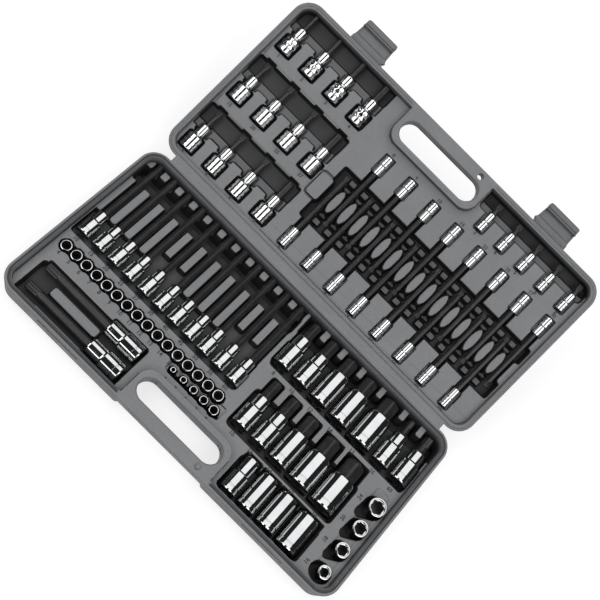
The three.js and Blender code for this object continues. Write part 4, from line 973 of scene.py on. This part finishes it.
def add_tool(tool, kind, roll):
    """A lying tool's socket and, if a kind is named, its bit. Each is made along +Y from its drive face."""
    name = tool.name.replace("_socket", "") if kind else tool.name
    sides = 120 if tool.knurled else 48 if tool.drive > 7 else 40
    socket = ring_loft(f"{name}_socket", socket_rings(tool), sides, chrome, black_steel_and_bore_shade)
    pieces = [(socket, "chrome")]
    if kind:
        pieces.append((ring_loft(f"{name}_bit", bit_rings(tool, kind), 48, black_steel_and_bore_shade), "black_oxide"))
    heading = Vector((tool.toward[0], SIDE[tool.half] * tool.toward[1]))
    where = HALF_FRAME[tool.half] @ Matrix.Translation(at(tool.half, tool.x, tool.d, tool.h))
    turn = Matrix.Rotation(-Vector((0, 1)).angle_signed(heading), 4, "Z") @ Matrix.Rotation(roll, 4, "Y")
    for mesh, slot in pieces:
        mesh.transform(where @ turn)
        obj = linked(mesh.name, mesh)
        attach(obj, f"{tool.node}_body" if tool.node else tool.half)
        if mesh == socket and tool.node:
            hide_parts(tool.node)


KINDS = [
    (long_bits + hex_bits + half_inch_bits[:5], "hex", 30), (half_inch_bits[5:], "star", 30),
    (extra_bits, "spline", 0), (star_sockets, None, 0), (lid_bits[:3], "star", 0),
    (lid_bits[3:4], "hex", 0), (lid_bits[4:7], "star", 0), (lid_bits[7:], "hex", 0),
    (thin_far, "star_thin", 0), (short_bits, "star", 0), (thin_near, "star_thin", 0),
]
for tools, kind, roll in KINDS:
    for tool in tools:
        add_tool(tool, kind, radians(roll))


def standing(name, rings, sides, x, d, material, inner=None):
    """A turned piece that stands in the base, fixed to it."""
    mesh = ring_loft(name, rings, sides, material, inner)
    where = HALF_FRAME["base"] @ Matrix.Translation(at("base", x, d, 0))
    mesh.transform(where @ Matrix.Rotation(pi / 2, 4, "X"))
    obj = linked(name, mesh)
    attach(obj, "base")


def upright(name, x, d, radius, bore, top):
    """An upright socket, from the floor of its trough up, with its bore seen at the top."""
    lip, deep = min(0.5, (radius - bore) * 0.42), 14
    rings = turned(
        (UPRIGHT_FLOOR - 0.2, radius), (top - deep * 0.55, radius), (top - lip, radius),
        (top - lip * 0.3, radius - lip * 0.3), (top, radius - lip), (top, bore + 0.2), (top - 0.3, bore))
    if bore > 5:
        hole, mouth = lobes(bore * 0.94, 0.12), top - 3.2
        rings += [*turned((top - 2.4, bore * 0.98)), (top - 2.5, hole)]
    else:
        hole, mouth = hexagon(bore * 0.9, 1.1), top - 1.4
    # Below its mouth the bore is painted near black, as shade.
    rings += [(mouth, hole, INSIDE), (top - deep, hole, INSIDE)]
    standing(name, rings, 48, x, d, chrome, black_steel_and_bore_shade)


for row_name, row in (("small", small_uprights), ("mini", mini_uprights), ("large", large_uprights)):
    for i, socket in enumerate(row):
        upright(f"upright_{row_name}_{i + 1:02d}", **vars(socket))


# ---------- hinge, latches and peg


def hinge_web():
    """The thin web between the halves, with its bead on the fold."""
    half_length, reach, thick, steps = WIDTH / 2 - 23, LEAF + 1.2, 1.4, 60
    stops = [("base", -reach), ("base", -2.2), ("base", -1.1), ("lid", 1.1), ("lid", 2.2), ("lid", reach)]
    top, bottom = (
        [HALF_FRAME[half] @ Vector((0, y * MM, h * MM)) for half, y in stops]
        for h in (RIM_TOP, RIM_TOP - thick))
    top.insert(3, FOLD + Vector((0, 0, 0.75 * MM)))
    bottom.insert(3, FOLD - Vector((0, 0, 1.0 * MM)))
    lengths = [(-half_length + 2 * half_length * k / steps) * MM for k in range(steps + 1)]
    mesh = swept("hinge_web", [[(x, p.y, p.z) for p in top + bottom[::-1]] for x in lengths])
    smooth(mesh, 50)
    web = linked("hinge_web", mesh, case_plastic)
    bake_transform(web)
    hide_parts("living_hinge")


hinge_web()


def latch_edge(y, inward):
    """How far a latch's side lies from its middle. It flares past the lug, more on its inward side."""
    flare = (3.6 if inward else 1.8) * max(0, 1 - (y - 2.3) / 9) ** 2 if y > 2.3 else 0
    corner = max(0, y - LATCH_REACH + LATCH_CORNER)
    return LATCH_WIDTH / 2 - 3.4 + flare - LATCH_CORNER + sqrt(LATCH_CORNER ** 2 - corner ** 2)


def swept_latch(side, centre):
    """A latch lying open: knuckle, sunk band, panel, hooked ridge and finger lip, with rails at its sides."""
    end = LATCH_REACH
    tops = [
        (-2.2, 1.6), (-1.2, 2.5), (0.2, 2.8), (1.2, 2.7), (1.8, 1.9), (2.6, 1.5), (6.0, 1.2), (6.5, 1.3),
        (7.0, 2.1), (14.8, 1.9), (15.6, 0.8), (16.4, 0.8), (16.9, 4.2), (17.6, 5.2), (18.6, 5.0), (19.2, 2.8),
        (19.6, 1.0), (20.4, 1.0), (20.9, 2.1), (end - 2.4, 1.8), (end - 1.5, 1.5), (end - 0.8, 1.0),
        (end - 0.3, 0.4), (end, -0.3),
    ]
    lows = [(end, -0.9), (end - 0.8, -1.3), (end - 3, -1.4), (18, -0.1)]
    lows += [(7, -0.5), (3, -0.7), (0, -2.4), (-2.0, -1.6)]
    insets = [(0, -0.5), (0.3, -0.1), (1.4, 0), (1.8, -0.7), (2.6, -0.7), (3.0, 0), (8, 0)]
    sections = []
    for way, inset, lift in [(-1, *stop) for stop in insets] + [(1, *stop) for stop in reversed(insets)]:
        edge_lift = min(0, lift) if inset < 1 else 0
        heights = [(y, z + (lift if 6.5 < y < end - 3 else edge_lift)) for y, z in tops] + lows
        edges = [way * (latch_edge(y, way * centre < 0) - inset) for y, _ in heights]
        sections.append([(x * MM, y * MM, z * MM) for x, (y, z) in zip(edges, heights)])
    mesh = swept(f"{side}_latch_plate", sections)
    smooth(mesh, 30)
    mesh.transform(Matrix.Translation(at("lid", centre, *LATCH_PIVOT)))
    latch = linked(f"{side}_latch_plate", mesh, latch_plastic, "lid")
    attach(latch, f"{side}_latch")
    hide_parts(f"latch_{side}")


def latch_lug(name, x0, x1):
    """A rounded lug on the lid's far wall that holds one end of a latch's pin."""
    nose = arc(*LATCH_PIVOT, LUG_RADIUS, pi / 2, -pi, 12)
    outline = [(DEPTH - 3, nose[0][1]), *nose, (DEPTH - 3, nose[-1][1])]
    mesh = prism(name, *([at("lid", x, d, h) for d, h in outline] for x in (x0, x1)))
    smooth(mesh, 35)
    lug = linked(name, mesh, case_plastic, "lid")
    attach(lug, "lid")


for side, centre in (("left", -LATCH_X), ("right", LATCH_X)):
    swept_latch(side, centre)
    lug_from, lug_to = LATCH_WIDTH / 2 - 3.2, LATCH_WIDTH / 2 - 1.8
    latch_lug(f"{side}_latch_lug_outer", centre - lug_to, centre - lug_from)
    latch_lug(f"{side}_latch_lug_inner", centre + lug_from, centre + lug_to)

# The small peg on the base's handle that meets the hole in the lid's
peg_rings = turned((-3, 2.7), (RIM_TOP + 0.2, 2.7), (1.9, 2.5), (2.3, 2.1), (2.4, 1.4))
standing("handle_peg", peg_rings, 32, PEG_X, PEG_D, case_plastic)


# ---------- size marks


def add_marks(half, size, rows):
    """Raised plain numbers, joined into one piece. A row has places (x, d, rise, turn) and numbers."""
    joined = bmesh.new()
    for places, numbers in rows:
        for (x, d, rise, turn), number in zip(places, numbers.split()):
            curve = bpy.data.curves.new("mark", "FONT")
            curve.body, curve.size = number, size * MM
            curve.extrude, curve.offset = 0.18 * MM, 0.12 * MM
            curve.align_x = curve.align_y = "CENTER"
            curve.resolution_u = 2
            obj = linked("mark", curve)
            mesh = evaluated(obj)
            where = at(half, x, d, rise - SIZES[half]["drop"] + 0.1)
            mesh.transform(Matrix.Translation(where) @ Matrix.Rotation(turn, 4, "Z"))
            joined.from_mesh(mesh)
            bpy.data.objects.remove(obj)
            bpy.data.meshes.remove(mesh)
    mesh = bpy.data.meshes.new(f"{half}_size_marks")
    joined.to_mesh(mesh)
    joined.free()
    obj = linked(f"{half}_size_marks", mesh, mark_ink, half)
    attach(obj, half)


def beside(tools, d, rise=0):
    return [(tool.x, d, rise, 0.0) for tool in tools]


add_marks("base", 6.2, [
    (beside(long_bits, 131.2), "10 15 20 25 27 30 40 45 50 55 60"),
    (beside(small_uprights, 154), "4 5 6 7 8 9 10 11 12 13 14 15 16 17 18 19"),
    (beside(mini_uprights, 168.5), "4 5 6 7 8"),
    (beside(half_inch_bits, 84), "8 10 12 14 17 55 60"),
    (beside(hex_bits, 160), "10 12 14 17 19"),
    ([(181, socket.d + 2.2, 0, pi / 2) for socket in large_uprights], "24 20 18 16"),
])
add_marks("lid", 5.8, [
    (beside(lid_bits[:4], 9.4, 0.9), "4 5 6 7"),
    (beside(lid_bits[:4], 78, 0.9), "15 20 25 27"),
    (beside(lid_bits[:4], 150.6, 0.9), "1 2 3 4"),
    (beside(thin_near, 9), "6 7 8 9 10 15 20 25"),
    (beside(thin_far, 162.8), "8 9 10 15 20 25 27 30"),
    (beside(short_bits, 166.2), "3 4 5 6 8"),
])


# ---------- floor, light and camera

FLOOR_HALF_M = 30.0
FLOOR_GREY = 0.42
FLOOR_GLOW = 0.7           # seen by the camera and in mirrors, but never lighting the case
CEILING_M = 1.9


def floor():
    """A white studio floor that keeps the case's shadow."""
    corners = [(x * FLOOR_HALF_M, y * FLOOR_HALF_M, 0) for x, y in ((-1, -1), (1, -1), (1, 1), (-1, 1))]
    material = bpy.data.materials.new("studio_floor")
    material.use_nodes = True
    tree = material.node_tree
    tree.nodes.clear()
    paint = make(tree, "BsdfDiffuse", {"Color": (*[FLOOR_GREY] * 3, 1)})
    rays = make(tree, "LightPath", {}).node.outputs
    seen = rays["Is Camera Ray"]
    for ray in ("Is Glossy Ray", "Is Transmission Ray"):
        seen = make(tree, "Math", {0: seen, 1: rays[ray]}, operation="MAXIMUM")
    amount = make(tree, "Math", {0: seen, 1: FLOOR_GLOW}, operation="MULTIPLY")
    both = make(tree, "AddShader", {0: paint, 1: make(tree, "Emission", {"Strength": amount})})
    plug(tree, tree.nodes.new("ShaderNodeOutputMaterial"), {"Surface": both})
    linked("floor", mesh_from("floor", corners, [(0, 1, 2, 3)]), material)


def soft_box(name, where, width_m, height_m, radiance, target=None):
    """An area lamp that faces the target; without one it faces straight down."""
    lamp = bpy.data.lights.new(name, "AREA")
    lamp.shape = "RECTANGLE"
    lamp.size, lamp.size_y = width_m, height_m
    lamp.energy = radiance * pi * width_m * height_m
    obj = linked(name, lamp)
    obj.matrix_world = Matrix.Translation(where)
    if target:
        aim = (Vector(target) - Vector(where)).to_track_quat("-Z", "Y").to_matrix().to_4x4()
        obj.matrix_world = obj.matrix_world @ aim


def studio():
    """Large panels overhead, open towards the camera, with thin strips at the sides."""
    world = bpy.data.worlds.new("studio")
    bpy.context.scene.world = world
    world.use_nodes = True
    background = world.node_tree.nodes["Background"]
    plug(world.node_tree, background, {"Color": (0.75, 0.76, 0.78, 1), "Strength": 0.03})
    centre = (0, 0.1, 0.03)
    soft_box("back", (0, 1.25, CEILING_M), 2.7, 1.8, 1.4)
    soft_box("front", (0, -2.4, CEILING_M), 2.2, 0.6, 2.5, centre)
    for side, way in (("left", -1), ("right", 1)):
        soft_box(f"front_{side}", (1.35 * way, -0.8, CEILING_M), 1.8, 2.0, 2.5)
        soft_box(side, (2.4 * way, 0.2, 0.7), 0.4, 1.8, 0.5, centre)


def camera():
    """The photo's view: from above the front edge, with the case turned an eighth of a turn."""
    elevation, yaw, roll = radians(63.124), radians(0.924), radians(45.857)
    fold_right, fold_up, fold_away = 8.16355, 7.86515, 1044.591     # the fold's middle from the camera
    forward = Vector((sin(yaw) * cos(elevation), cos(yaw) * cos(elevation), -sin(elevation)))
    right = Vector((cos(yaw), -sin(yaw), 0))
    down = forward.cross(right)
    axis_x = cos(roll) * right - sin(roll) * down
    axis_y = -sin(roll) * right - cos(roll) * down
    where = FOLD - (fold_right * axis_x + fold_up * axis_y + fold_away * forward) * MM
    data = bpy.data.cameras.new("camera")
    data.sensor_width = 36
    data.lens = 60.3162
    data.clip_end = 50
    obj = linked("camera", data)
    turn = Matrix((axis_x, axis_y, -forward)).transposed().to_4x4()
    obj.matrix_world = Matrix.Translation(where) @ turn
    bpy.context.scene.camera = obj


floor()
studio()
camera()
bpy.context.scene.view_settings.view_transform = "Standard"
